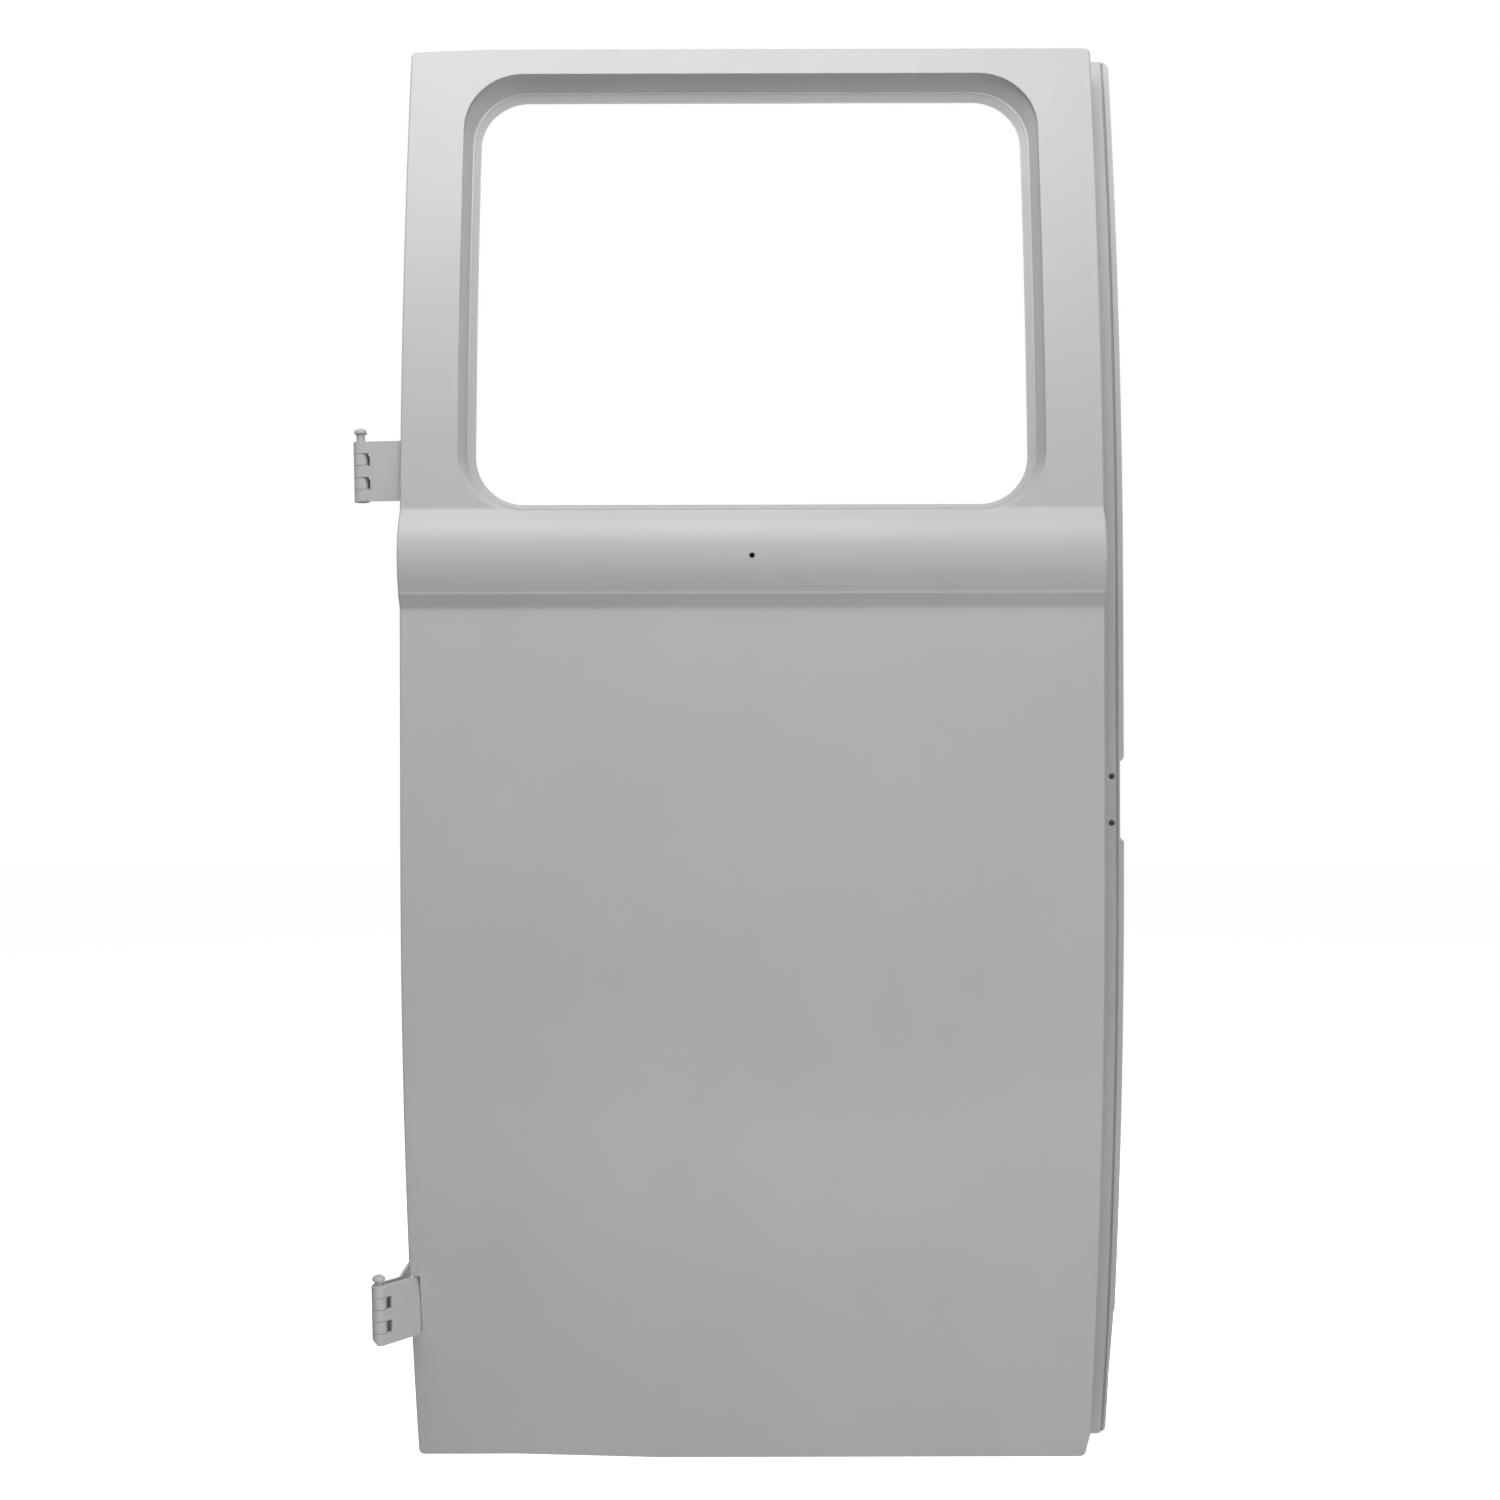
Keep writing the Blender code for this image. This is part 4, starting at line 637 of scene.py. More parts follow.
PLATE_WIDTH = 0.0166
PLATE_THICK = 0.0065
PLATE_HEIGHT = 0.0620
PLATE_INSET = 0.0073
TAPPED_HOLE_D = 0.0046
TAPPED_HOLE_DEPTH = 0.0052
plate_front = FRAME_REAR + INNER_SHEET + FIT_GAP + body_shift(FRAME_DEPTH, STRIKER_Z)
plate_x = LIP_X - PLATE_INSET
plate_low = STRIKER_Z - PLATE_HEIGHT / 2
plate_high = STRIKER_Z + PLATE_HEIGHT / 2
corners = [(plate_x - PLATE_WIDTH, plate_low), (plate_x, plate_low),
           (plate_x, plate_high), (plate_x - PLATE_WIDTH, plate_high)]
plate = bmesh.new()
front_ring = [plate.verts.new((x, plate_front, z)) for x, z in corners]
back_ring = [plate.verts.new((x, plate_front + PLATE_THICK, z)) for x, z in corners]
mouths = [hole_ring(plate, (x, plate_front, z), TAPPED_HOLE_D / 2, "Y") for x, z in striker_holes]
surface_of(plate, front_ring, mouths, (0, -1, 0))
bridge(plate, front_ring, back_ring)
plate.faces.new(back_ring)
for (x, z), mouth in zip(striker_holes, mouths):
    bottom = hole_ring(plate, (x, plate_front + TAPPED_HOLE_DEPTH, z), TAPPED_HOLE_D / 2, "Y")
    bridge(plate, mouth, bottom)
    plate.faces.new(bottom)
bmesh.ops.recalc_face_normals(plate, faces=plate.faces[:])
settle(plate, "drilled_striker_plate", primer, "primer", "door", "striker_tapping_plate")

# Rails. Sections folded from 1.2 mm sheet with 2.2 mm bends, hidden behind the skin: hat rails
# down both sides, with tooling holes, and one along the foot with drain slots, a Z along the top.

WEB_INSET = 0.0090
WEB_X = HALF_WIDTH - WEB_INSET
RAIL_FLANGE = 0.0115
RAIL_BEND_R = 0.0022
HEM_FLANGE_START = SKIN_SHEET + 2 * FIT_GAP
HEM_SLOT_DEPTH = SKIN_SHEET + FIT_GAP + INNER_SHEET / 2
LAP_MID_DEPTH = REAR_MID_DEPTH - INNER_SHEET - FIT_GAP
FOLD_SEGMENTS = 6
FOLD_ANGLE = 0.2


def thicken(bm, thickness):
    """Give a sheet's middle surface its thickness, half of it on each side."""
    bmesh.ops.dissolve_degenerate(bm, edges=bm.edges[:], dist=1e-5)
    bmesh.ops.recalc_face_normals(bm, faces=bm.faces[:])
    bm.normal_update()
    for vert, shift in [(vert, vert.normal.copy()) for vert in bm.verts]:
        vert.co += shift * (thickness / 2)
    bmesh.ops.solidify(bm, geom=bm.faces[:], thickness=thickness)


def fold_strip(bm, section, place, low, high, bend_r):
    """A strip folded along a section and drawn out between two ends, with its bends rolled."""
    start = [bm.verts.new(place(u, v, low)) for u, v in section]
    line = [bm.edges.new(pair) for pair in zip(start, start[1:])]
    drawn = bmesh.ops.extrude_edge_only(bm, edges=line)["geom"]
    end = [item for item in drawn if isinstance(item, bmesh.types.BMVert)]
    bmesh.ops.translate(bm, vec=place(0.0, 0.0, high) - place(0.0, 0.0, low), verts=end)
    folds = [edge for edge in bm.edges if len(edge.link_faces) == 2 and edge.calc_face_angle() > FOLD_ANGLE]
    bmesh.ops.bevel(bm, geom=folds, offset=bend_r, segments=FOLD_SEGMENTS, profile=0.5, affect="EDGES",
                    material=-1)


def pierce(bm, near, holes, normal):
    """Open holes in the flat face nearest a point."""
    face = min(bm.faces, key=lambda item: (item.calc_center_median() - Vector(near)).length)
    edges = list(face.edges)
    bmesh.ops.delete(bm, geom=[face], context="FACES_ONLY")
    for ring in holes:
        edges += loop_edges(bm, ring)
    bmesh.ops.triangle_fill(bm, edges=edges, use_beauty=True, normal=normal)


def drop_faces(bm, test):
    """Delete the faces whose middle passes a test."""
    dropped = [face for face in bm.faces if test(face.calc_center_median())]
    bmesh.ops.delete(bm, geom=dropped, context="FACES")


def stand(u, v, w):
    """Section in plan, drawn upwards."""
    return Vector((u, v, w))


def lie(u, v, w):
    """Section from the side, drawn across the door."""
    return Vector((w, v, u))


TOOLING_HOLES = 4
TOOLING_HOLE_D = 0.012
RAIL_LOW_Z = BOTTOM_RISE + WEB_INSET
RAIL_HIGH_Z = DOOR_HEIGHT - TOP_FALL - WEB_INSET
BOTTOM_RAIL_HEIGHT = 0.0400
BELT_RAIL_DROP = 0.0275
BELT_RAIL_LOW_Z = BELT_CROWN_Z - BELT_RAIL_DROP
bottom_clear = RAIL_LOW_Z + BOTTOM_RAIL_HEIGHT + RAIL_FLANGE + 4 * FIT_GAP
belt_clear = BELT_RAIL_LOW_Z - RAIL_FLANGE - 4 * FIT_GAP
SCREW_SPACING = 0.0220
SCREW_HOLE_D = 0.0066
UPPER_HINGE_Z = 0.8554
UPPER_SCREW_Y = 0.0360
LOWER_SCREW_Y = 0.0724
NOTCH_CLEAR = 0.0002
hinge_screws = ((UPPER_HINGE_Z, UPPER_SCREW_Y), (LOWER_HINGE_Z, LOWER_SCREW_Y))

for side, name in ((-1, "hinge_side_rail"), (1, "lock_side_rail")):
    rail = bmesh.new()
    web = WEB_X - INNER_SHEET / 2
    inner_web = web - RAIL_WIDTH
    section = [(side * (HALF_WIDTH - HEM_FLANGE_START), HEM_SLOT_DEPTH), (side * web, HEM_SLOT_DEPTH),
               (side * web, REAR_MID_DEPTH), (side * inner_web, REAR_MID_DEPTH),
               (side * inner_web, HEM_SLOT_DEPTH), (side * (inner_web - RAIL_FLANGE), HEM_SLOT_DEPTH)]
    fold_strip(rail, section, stand, RAIL_LOW_Z, RAIL_HIGH_Z, RAIL_BEND_R)
    middle_z = (RAIL_LOW_Z + RAIL_HIGH_Z) / 2
    hole_x = side * (web - RAIL_WIDTH / 2)
    hole_pitch = (belt_clear - bottom_clear) / TOOLING_HOLES
    holes = [hole_ring(rail, (hole_x, REAR_MID_DEPTH, bottom_clear + hole_pitch * (i + 0.5)),
                       TOOLING_HOLE_D / 2, "Y") for i in range(TOOLING_HOLES)]
    pierce(rail, (hole_x, REAR_MID_DEPTH, middle_z), holes, (0, 1, 0))
    if side < 0:
        holes = [hole_ring(rail, (-web, y - body_shift(FRAME_DEPTH / 2, z), z + end * SCREW_SPACING / 2),
                           SCREW_HOLE_D / 2, "X") for z, y in hinge_screws for end in (-1, 1)]
        pierce(rail, (-web, FRAME_DEPTH / 2, middle_z), holes, (-1, 0, 0))
        for z in (NOTCH_Z - NOTCH_HALF, NOTCH_Z + NOTCH_HALF):
            cut_at(rail, (0.0, 0.0, z), (0.0, 0.0, 1.0))
        drop_faces(rail, lambda middle: middle.x < -HALF_WIDTH + NOTCH_WIDTH - NOTCH_CLEAR
                   and abs(middle.z - NOTCH_Z) < NOTCH_HALF)
    clear_x = side * (inner_web + INNER_SHEET / 2 + RAIL_BEND_R)
    for cut in (((0.0, 0.0, bottom_clear), (0.0, 0.0, 1.0)), ((0.0, 0.0, belt_clear), (0.0, 0.0, 1.0)),
                ((clear_x, 0.0, 0.0), (1.0, 0.0, 0.0))):
        cut_at(rail, *cut)
    drop_faces(rail, lambda middle: abs(middle.x) < abs(clear_x)
               and not bottom_clear < middle.z < belt_clear)
    thicken(rail, INNER_SHEET)
    bend_to_body(rail)
    settle(rail, "folded_" + name, primer, "primer", "door", name)

cross_half = WEB_X - INNER_SHEET - RAIL_BEND_R - FIT_GAP
DRAIN_SLOT_LENGTH = 0.020
DRAIN_SLOT_WIDTH = 0.007
foot_edge = BOTTOM_RISE + HEM_FLANGE_START
foot_web = BOTTOM_RISE + WEB_INSET + INNER_SHEET / 2
foot_inner = foot_web + BOTTOM_RAIL_HEIGHT
rail = bmesh.new()
section = [(foot_edge, HEM_SLOT_DEPTH), (foot_web, HEM_SLOT_DEPTH), (foot_web, LAP_MID_DEPTH),
           (foot_inner, LAP_MID_DEPTH), (foot_inner, HEM_SLOT_DEPTH),
           (foot_inner + RAIL_FLANGE, HEM_SLOT_DEPTH)]
fold_strip(rail, section, lie, -cross_half, cross_half, RAIL_BEND_R)
slots = []
for i in (-1, 0, 1):
    slot_x = cross_half * 2 * i / 3
    reach = (DRAIN_SLOT_LENGTH - DRAIN_SLOT_WIDTH) / 2
    ring = arc((slot_x + reach, FRAME_DEPTH / 2), DRAIN_SLOT_WIDTH / 2, -90, 90, 12)
    ring += arc((slot_x - reach, FRAME_DEPTH / 2), DRAIN_SLOT_WIDTH / 2, 90, 270, 12)
    slots.append([rail.verts.new((x, y, foot_web)) for x, y in ring])
pierce(rail, (0.0, FRAME_DEPTH / 2, foot_web), slots, (0, 0, 1))
thicken(rail, INNER_SHEET)
bend_to_body(rail)
settle(rail, "folded_bottom_rail", primer, "primer", "door", "bottom_rail")

TOP_RAIL_LAP = 0.0200
head_edge = DOOR_HEIGHT - TOP_FALL - HEM_FLANGE_START
head_web = DOOR_HEIGHT - TOP_FALL - WEB_INSET - INNER_SHEET / 2
rail = bmesh.new()
section = [(head_edge, HEM_SLOT_DEPTH), (head_web, HEM_SLOT_DEPTH), (head_web, LAP_MID_DEPTH),
           (head_web - TOP_RAIL_LAP, LAP_MID_DEPTH)]
fold_strip(rail, section, lie, -cross_half, cross_half, RAIL_BEND_R)
thicken(rail, INNER_SHEET)
bend_to_body(rail)
settle(rail, "folded_top_rail", primer, "primer", "door", "top_rail")

# Belt rail and panel stiffener. The belt rail stands behind the swage and ends in a lip under
# the window's sill; the stiffener is a shallow top hat 51 mm high across the lower panel.

BELT_RAIL_HEADROOM = 0.0129
BELT_RAIL_LIP = 0.0116
BELT_RAIL_HIGH_Z = WINDOW_SILL_Z - BELT_RAIL_HEADROOM
rail = bmesh.new()
section = [(BELT_RAIL_LOW_Z - RAIL_FLANGE, HEM_SLOT_DEPTH), (BELT_RAIL_LOW_Z, HEM_SLOT_DEPTH),
           (BELT_RAIL_LOW_Z, LAP_MID_DEPTH), (BELT_RAIL_HIGH_Z, LAP_MID_DEPTH),
           (BELT_RAIL_HIGH_Z, LAP_MID_DEPTH - BELT_RAIL_LIP)]
fold_strip(rail, section, lie, -cross_half, cross_half, RAIL_BEND_R)
thicken(rail, INNER_SHEET)
bend_to_body(rail)
settle(rail, "folded_belt_rail", primer, "primer", "door", "belt_rail")

STIFFENER_Z = 0.403
STIFFENER_CROWN = 0.020
STIFFENER_SLOPE = 0.004
STIFFENER_RISE = 0.0115
STIFFENER_BEND_R = 0.0015
stiff_half = WEB_X - INNER_SHEET / 2 - RAIL_WIDTH - RAIL_FLANGE - FIT_GAP
half_crown = STIFFENER_CROWN / 2
half_foot = half_crown + STIFFENER_SLOPE
crown_depth = HEM_SLOT_DEPTH + STIFFENER_RISE
rail = bmesh.new()
section = [(STIFFENER_Z - half_foot - RAIL_FLANGE, HEM_SLOT_DEPTH), (STIFFENER_Z - half_foot, HEM_SLOT_DEPTH),
           (STIFFENER_Z - half_crown, crown_depth), (STIFFENER_Z + half_crown, crown_depth),
           (STIFFENER_Z + half_foot, HEM_SLOT_DEPTH), (STIFFENER_Z + half_foot + RAIL_FLANGE, HEM_SLOT_DEPTH)]
fold_strip(rail, section, lie, -stiff_half, stiff_half, STIFFENER_BEND_R)
thicken(rail, INNER_SHEET)
bend_to_body(rail)
settle(rail, "folded_stiffener", primer, "primer", "door", "panel_stiffener")

# Window frame. A ring pressed from 1.2 mm sheet: its front lies behind the seal flange, a short
# wall steps back, and the rear flange laps over the rails.

FRAME_FRONT = RECESS_DEPTH + SKIN_SHEET + 2 * FIT_GAP
FRAME_WEB = SEAL_FLANGE[0] - FIT_GAP
FRAME_LIP = 0.0005
FRAME_REAR_REACH = 0.0165
FRAME_BEND_STEPS = 5
ring_frame = bmesh.new()
bend = RAIL_BEND_R / 2
profile = [(FRAME_LIP, FRAME_FRONT + FLANGE_RAKE), (FRAME_WEB, FRAME_FRONT)]
profile += arc((FRAME_WEB, FRAME_FRONT + bend), bend, -90, 0, FRAME_BEND_STEPS)[1:]
profile += arc((FRAME_WEB + 2 * bend, FRAME_REAR - bend), bend, 180, 90, FRAME_BEND_STEPS)
profile.append((FRAME_WEB + FRAME_REAR_REACH, FRAME_REAR))
rings = [window_ring(ring_frame, (grow, grow, grow), WINDOW_CORNER_R + grow, depth)
         for grow, depth in profile]
for ring, deeper in zip(rings, rings[1:]):
    bridge(ring_frame, ring, deeper)
thicken_behind(ring_frame, INNER_SHEET)
bend_to_body(ring_frame)
settle(ring_frame, "pressed_window_frame", primer, "primer", "door", "window_frame")

# Hinges. Leaves of 2.4 mm strip rolled round a 7.3 mm pin in five knuckles. The pillar leaves
# have three countersunk holes, the door leaves two hexagon screws; the lower ones run slanted.

HINGE_SHEET = 0.0024
PIN_D = 0.0073
PIN_PLAY = 0.00015
KNUCKLE_MID_R = PIN_D / 2 + PIN_PLAY + HINGE_SHEET / 2
KNUCKLE_R = KNUCKLE_MID_R + HINGE_SHEET / 2
KNUCKLES = 5
KNUCKLE_PITCH = 0.0100
KNUCKLE_GAP = 0.0003
LEAF_HEIGHT = KNUCKLES * KNUCKLE_PITCH
SLOT_REACH = KNUCKLE_R + 0.0022
EDGE_BREAK = 0.0003
LEAF_BEND_R = 0.0030
PIN_Y = skin_line(UPPER_HINGE_Z + LEAF_HEIGHT / 2) + HEM_THICK + FIT_GAP + KNUCKLE_R
UPPER_PIN_X = -HALF_WIDTH - 0.0345
LOWER_PIN_X = -HALF_WIDTH - 0.0213
AXIS_LEAN = math.atan2(LOWER_PIN_X - UPPER_PIN_X, UPPER_HINGE_Z - LOWER_HINGE_Z)
LEAF_FLANGE_X = -WEB_X - FIT_GAP - HINGE_SHEET / 2
JAMB_PLATE_X = -HALF_WIDTH - 0.0084
LOWER_CORNER_Y = 0.0535
LOWER_CORNER = Vector((LEAF_FLANGE_X - LOWER_PIN_X, LOWER_CORNER_Y - PIN_Y))
LOWER_RUN = math.atan2(LOWER_CORNER.y, LOWER_CORNER.x) + math.asin(KNUCKLE_MID_R / LOWER_CORNER.length)
LOWER_JAMB_CORNER = (JAMB_PLATE_X - LOWER_PIN_X) * math.tan(LOWER_RUN) + KNUCKLE_MID_R / math.cos(LOWER_RUN)
UPPER_FLANGE_BACK_Y = 0.0430
LOWER_FLANGE_BACK_Y = 0.0790
UPPER_JAMB_BACK_Y = 0.0880
LOWER_JAMB_BACK_Y = 0.0950
LEAF_BEND_SEGMENTS = 8
CURL_STEPS = 60
FOOT_Z = -LEAF_HEIGHT / 2
JAMB_HOLE_D = 0.0085
JAMB_SINK_D = 0.0130
SINK_MARGIN = 0.0001
JAMB_HOLE_Z = 0.0130
JAMB_HOLE_INSET = 0.0110
UPPER_LEAF_TAPER = 0.0125
LEAF_CHAMFER_WIDTH = 0.0060
LEAF_CHAMFER_HEIGHT = 0.0070
PIN_FOOT_INSET = 0.0010
PIN_FOOT_CHAMFER = 0.0006
UPPER_PIN_NECK = 0.0064
LOWER_PIN_NECK = 0.0030
PIN_HEAD_R = 0.0054
PIN_HEAD_EASE = 0.0002
PIN_HEAD_FLARE = 0.0009
PIN_HEAD_SIDE = 0.0012
PIN_DOME_RISE = 0.0033


def leaf_strip(bends, run, turn_sign):
    """A leaf's middle surface: from its fixing end through its bends and round the curl."""
    bm = bmesh.new()
    start = math.degrees(run) + 90.0 * turn_sign
    section = list(bends) + arc((0.0, 0.0), KNUCKLE_MID_R, start, start + turn_sign * 300.0, CURL_STEPS)
    low = [bm.verts.new((u, v, FOOT_Z)) for u, v in section]
    line = [bm.edges.new(pair) for pair in zip(low, low[1:])]
    drawn = bmesh.ops.extrude_edge_only(bm, edges=line)["geom"]
    high = [item for item in drawn if isinstance(item, bmesh.types.BMVert)]
    bmesh.ops.translate(bm, vec=(0.0, 0.0, LEAF_HEIGHT), verts=high)
    return bm


def lean_on_axis(bm, pin_x, centre_z):
    """Carry a hinge piece, drawn upright round its pin, to its place on the leaning axis."""
    lean = Matrix.Translation((pin_x, PIN_Y, centre_z)) @ Matrix.Rotation(-AXIS_LEAN, 4, "Y")
    bmesh.ops.transform(bm, matrix=lean, verts=bm.verts[:])


def slot_knuckles(bm, run, first_slot):
    """Cut away every second knuckle of a leaf, out to just beyond its curl."""
    along = Vector((math.cos(run), math.sin(run), 0.0))
    cut_at(bm, along * SLOT_REACH, along)
    for i in range(first_slot, KNUCKLES, 2):
        low = FOOT_Z + i * KNUCKLE_PITCH - KNUCKLE_GAP / 2
        high = low + KNUCKLE_PITCH + KNUCKLE_GAP
        for z in (low, high):
            cut_at(bm, (0.0, 0.0, z), (0.0, 0.0, 1.0), lambda middle: middle.dot(along) < SLOT_REACH)
        drop_faces(bm, lambda middle: middle.dot(along) < SLOT_REACH and low < middle.z < high)


def stand_plate_upright(bm, plate_from):
    """Let the leaf's plate stand plumb, although its curl follows the leaning axis."""
    for vert in bm.verts:
        if vert.co.x > plate_from:
            vert.co.x += vert.co.z * math.tan(AXIS_LEAN)


def jamb_holes(bm, x, flat_y, back_y):
    """The three holes of a pillar leaf: centre, ring at the mouth and ring at the throat."""
    holes = []
    for y, z in ((flat_y + JAMB_HOLE_INSET, JAMB_HOLE_Z), (flat_y + JAMB_HOLE_INSET, -JAMB_HOLE_Z),
                 (back_y - JAMB_HOLE_INSET, 0.0)):
        centre = Vector((x, y - PIN_Y, z))
        mouth = hole_ring(bm, centre, JAMB_SINK_D / 2, "X")
        throat = hole_ring(bm, centre, JAMB_HOLE_D / 2, "X")
        holes.append((centre, mouth, throat))
    return holes


def dish_countersinks(bm, centres, inner_x):
    """Push the throat of each hole through the sheet from its inner face."""
    dish = (JAMB_SINK_D - JAMB_HOLE_D) / 2
    throat_reach = JAMB_HOLE_D / 2 + SINK_MARGIN
    for centre in centres:
        for vert in bm.verts:
            off = math.hypot(vert.co.y - centre.y, vert.co.z - centre.z)
            if off < throat_reach and vert.co.x - vert.co.z * math.tan(AXIS_LEAN) > inner_x:
                vert.co.x -= dish


for hinge in ("upper", "lower"):
    upper = hinge == "upper"
    pin_x = UPPER_PIN_X if upper else LOWER_PIN_X
    centre_z = UPPER_HINGE_Z if upper else LOWER_HINGE_Z
    run = 0.0 if upper else LOWER_RUN
    flange_x = LEAF_FLANGE_X - pin_x
    jamb_x = JAMB_PLATE_X - pin_x
    flange_back = (UPPER_FLANGE_BACK_Y if upper else LOWER_FLANGE_BACK_Y) - PIN_Y
    jamb_back = (UPPER_JAMB_BACK_Y if upper else LOWER_JAMB_BACK_Y) - PIN_Y
    flange_corner = (flange_x, -KNUCKLE_MID_R) if upper else tuple(LOWER_CORNER)
    jamb_corner = (jamb_x, KNUCKLE_MID_R if upper else LOWER_JAMB_CORNER)
    setback = LEAF_BEND_R * math.tan((math.pi / 2 - run) / 2)
    jamb_flat = PIN_Y + jamb_corner[1] + setback
    screw_y = (UPPER_SCREW_Y if upper else LOWER_SCREW_Y) - PIN_Y

    # The two leaves: rolled strip, folded once, pierced, and slotted between the knuckles.
    for part, corner, plate_x, back in (("door", flange_corner, flange_x, flange_back),
                                        ("pillar", jamb_corner, jamb_x, jamb_back)):
        door_side = part == "door"
        leaf = leaf_strip([(plate_x, back), corner], run, -1 if door_side else 1)
        fold = [edge for edge in leaf.edges if len(edge.link_faces) == 2
                and all(abs(vert.co.x - corner[0]) + abs(vert.co.y - corner[1]) < 1e-5
                        for vert in edge.verts)]
        bmesh.ops.bevel(leaf, geom=fold, offset=setback, segments=LEAF_BEND_SEGMENTS, profile=0.5,
                        affect="EDGES", material=-1)
        plate_near = (plate_x, (back + corner[1]) / 2, 0.0)
        if door_side:
            sunk = []
            rings = [hole_ring(leaf, (plate_x, screw_y, end * SCREW_SPACING / 2), SCREW_HOLE_D / 2, "X")
                     for end in (-1, 1)]
        else:
            sunk = jamb_holes(leaf, plate_x, jamb_flat, jamb_back + PIN_Y)
            rings = [mouth for _, mouth, _ in sunk]
        pierce(leaf, plate_near, rings, (1, 0, 0))
        for _, mouth, throat in sunk:
            bridge(leaf, mouth, throat)
        if upper:
            cut_at(leaf, (KNUCKLE_R, 0.0, 0.0), (1.0, 0.0, 0.0))
            slope = UPPER_LEAF_TAPER / (jamb_back + KNUCKLE_MID_R)
            cut_at(leaf, (0.0, -KNUCKLE_MID_R, FOOT_Z), (0.0, -slope, 1.0))
            drop_faces(leaf, lambda middle: middle.x > KNUCKLE_R
                       and middle.z < FOOT_Z + slope * (middle.y + KNUCKLE_MID_R))
        elif door_side:
            chamfer = Vector((LEAF_CHAMFER_HEIGHT, 0.0, LEAF_CHAMFER_WIDTH)).normalized()
            heel = Vector((-KNUCKLE_R, 0.0, FOOT_Z + LEAF_CHAMFER_HEIGHT))
            cut_at(leaf, heel, chamfer)
            drop_faces(leaf, lambda middle: (middle - heel).dot(chamfer) < 0)
        slot_knuckles(leaf, run, 1 if door_side else 0)
        stand_plate_upright(leaf, plate_x - HINGE_SHEET * (2 if door_side and upper else 1))
        thicken(leaf, HINGE_SHEET)
        dish_countersinks(leaf, [centre for centre, _, _ in sunk], jamb_x)
        lean_on_axis(leaf, pin_x, centre_z)
        made = settle(leaf, "rolled_" + hinge + "_" + part + "_leaf", primer, "primer",
                      "door" if door_side else hinge + "_pillar_leaf", hinge + "_" + part + "_leaf")
        edge_break = made.modifiers.new("edge_break", "BEVEL")
        edge_break.width = EDGE_BREAK
        edge_break.segments = 2
        edge_break.limit_method = "ANGLE"
        edge_break.angle_limit = math.radians(50.0)

    # The pin: a domed head on a plain neck and shank.
    neck_top = LEAF_HEIGHT / 2 + (UPPER_PIN_NECK if upper else LOWER_PIN_NECK)
    foot = FOOT_Z + PIN_FOOT_INSET
    rim = neck_top + PIN_HEAD_FLARE
    side_foot = rim + PIN_HEAD_EASE
    dome_foot = side_foot + PIN_HEAD_SIDE
    pin_profile = [(0.0, foot), (PIN_D / 2 - PIN_FOOT_CHAMFER, foot), (PIN_D / 2, foot + PIN_FOOT_CHAMFER),
                   (PIN_D / 2, neck_top), (PIN_HEAD_R - PIN_HEAD_EASE, rim), (PIN_HEAD_R, side_foot)]
    for degrees in range(0, 90, 9):
        angle = math.radians(degrees)
        pin_profile.append((PIN_HEAD_R * math.cos(angle), dome_foot + PIN_DOME_RISE * math.sin(angle)))
    pin_profile.append((0.0, dome_foot + PIN_DOME_RISE))
    pin = bmesh.new()
    spine = [pin.verts.new((r, 0.0, z)) for r, z in pin_profile]
    line = [pin.edges.new(pair) for pair in zip(spine, spine[1:])]
    bmesh.ops.spin(pin, geom=spine + line, cent=(0.0, 0.0, 0.0), axis=(0.0, 0.0, 1.0), angle=math.tau,
                   steps=48, use_merge=True)
    bmesh.ops.remove_doubles(pin, verts=pin.verts[:], dist=1e-6)
    bmesh.ops.recalc_face_normals(pin, faces=pin.faces[:])
    lean_on_axis(pin, pin_x, centre_z)
    settle(pin, hinge + "_mushroom_pin", primer, "primer", "door", hinge + "_hinge_pin")

# Hinge plates. Two tapped blocks of steel inside the hinge side rail, one behind each hinge,
# shown as the frame gives them, in the same primer.

for node_name in ("upper_hinge_plate", "lower_hinge_plate"):
    plate = frame["nodes"][node_name]
    plate.data.materials.clear()
    plate.data.materials.append(primer)

# Leaf screws. M6 hexagon screws in bright zinc, with chamfered heads, that hold the door leaves
# to the tapped plates inside the hinge side rail.

ZINC = (0.62, 0.62, 0.60, 1.0)
ZINC_YELLOW = (0.70, 0.69, 0.63, 1.0)


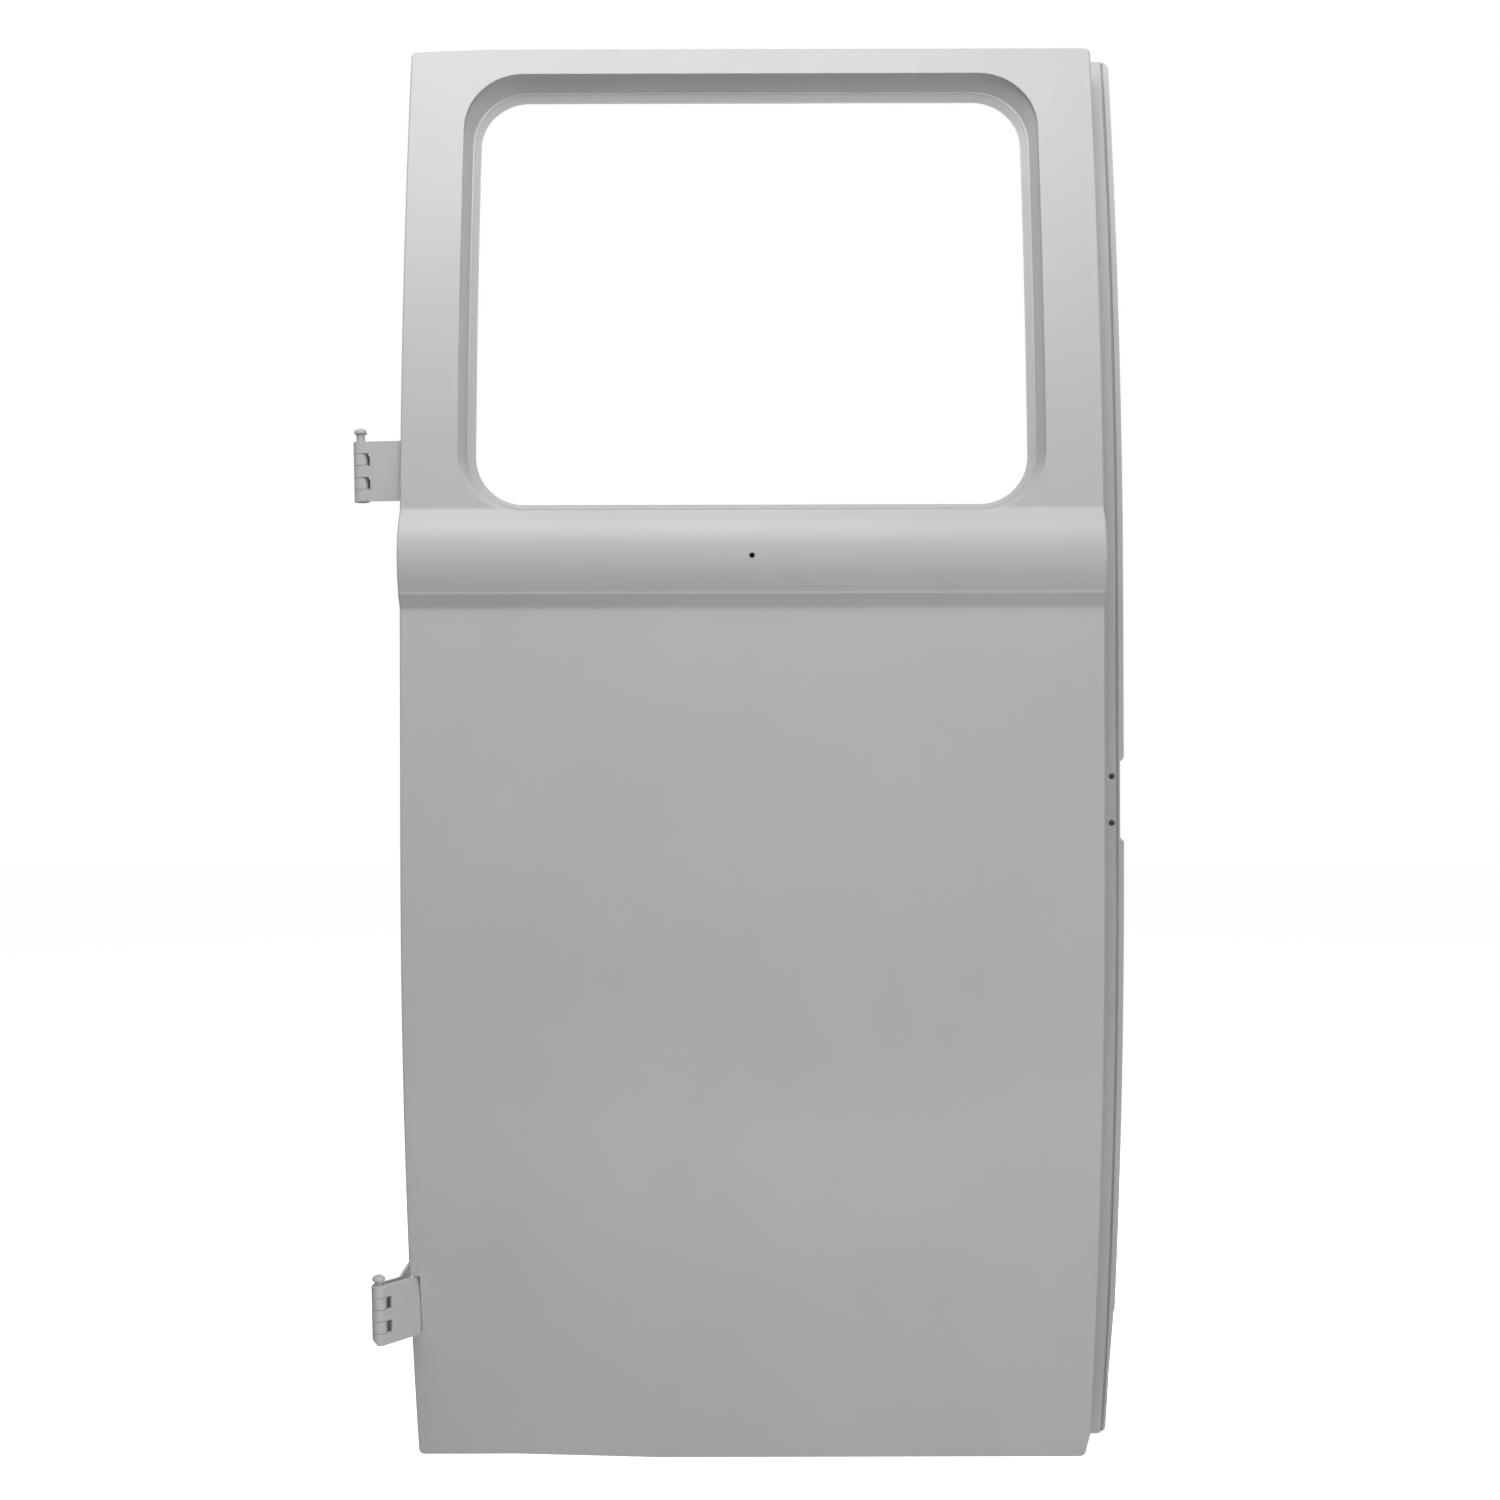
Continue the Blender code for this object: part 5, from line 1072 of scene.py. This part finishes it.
def zinc_plating(name):
    """Bright zinc, clouded here and there with a yellower and duller film."""
    zinc_paint = bpy.data.materials.new(name)
    zinc_paint.use_nodes = True
    tree = zinc_paint.node_tree
    shader = tree.nodes["Principled BSDF"]
    places = add_node(tree, "ShaderNodeTexCoord").outputs["Object"]
    cloud = Wave(tree, add_node(tree, "ShaderNodeTexNoise", Vector=places, Scale=420.0,
                                Detail=3.0).outputs["Fac"])
    tint = add_node(tree, "ShaderNodeMix", {"data_type": "RGBA"})
    tint.inputs["A"].default_value = ZINC
    tint.inputs["B"].default_value = ZINC_YELLOW
    tree.links.new(cloud.socket, tint.inputs["Factor"])
    tree.links.new(tint.outputs["Result"], shader.inputs["Base Color"])
    tree.links.new((cloud * 0.16 + 0.26).socket, shader.inputs["Roughness"])
    shader.inputs["Metallic"].default_value = 0.95
    return zinc_paint


SCREW_HEAD_R = 0.0050
SCREW_HEAD_HEIGHT = 0.0038
SCREW_HEAD_CHAMFER = 0.0007
SCREW_TIP_R = 0.0028
SCREW_SHANK_R = 0.0030
SCREW_SHANK_LENGTH = 0.0120
SCREW_SINK = 0.0002
zinc = zinc_plating("zinc_plate")
screw_foot_x = LEAF_FLANGE_X - HINGE_SHEET / 2 - FIT_GAP
outward = Matrix.Rotation(math.radians(-90.0), 4, "Y")
for hinge, (centre_z, screw_y) in zip(("upper", "lower"), hinge_screws):
    for number, end in enumerate((-1, 1), start=1):
        screw = bmesh.new()
        bmesh.ops.create_circle(screw, segments=6, radius=SCREW_HEAD_R, cap_ends=True)
        raised = bmesh.ops.extrude_face_region(screw, geom=screw.faces[:])["geom"]
        top = [item for item in raised if isinstance(item, bmesh.types.BMVert)]
        bmesh.ops.translate(screw, vec=(0.0, 0.0, SCREW_HEAD_HEIGHT), verts=top)
        top_edges = [edge for edge in screw.edges if all(vert in top for vert in edge.verts)]
        bmesh.ops.bevel(screw, geom=top_edges, offset=SCREW_HEAD_CHAMFER, segments=2, profile=0.5,
                        affect="EDGES", material=-1)
        shank = bmesh.ops.create_cone(screw, cap_ends=True, segments=24, radius1=SCREW_TIP_R,
                                      radius2=SCREW_SHANK_R, depth=SCREW_SHANK_LENGTH)["verts"]
        bmesh.ops.translate(screw, vec=(0.0, 0.0, SCREW_SINK - SCREW_SHANK_LENGTH / 2), verts=shank)
        bmesh.ops.recalc_face_normals(screw, faces=screw.faces[:])
        place = Matrix.Translation((screw_foot_x, screw_y, centre_z + end * SCREW_SPACING / 2))
        bmesh.ops.transform(screw, matrix=place @ outward, verts=screw.verts[:])
        settle(screw, hinge + "_zinc_screw_" + str(number), zinc, "zinc", "door",
               hinge + "_leaf_screw_" + str(number))
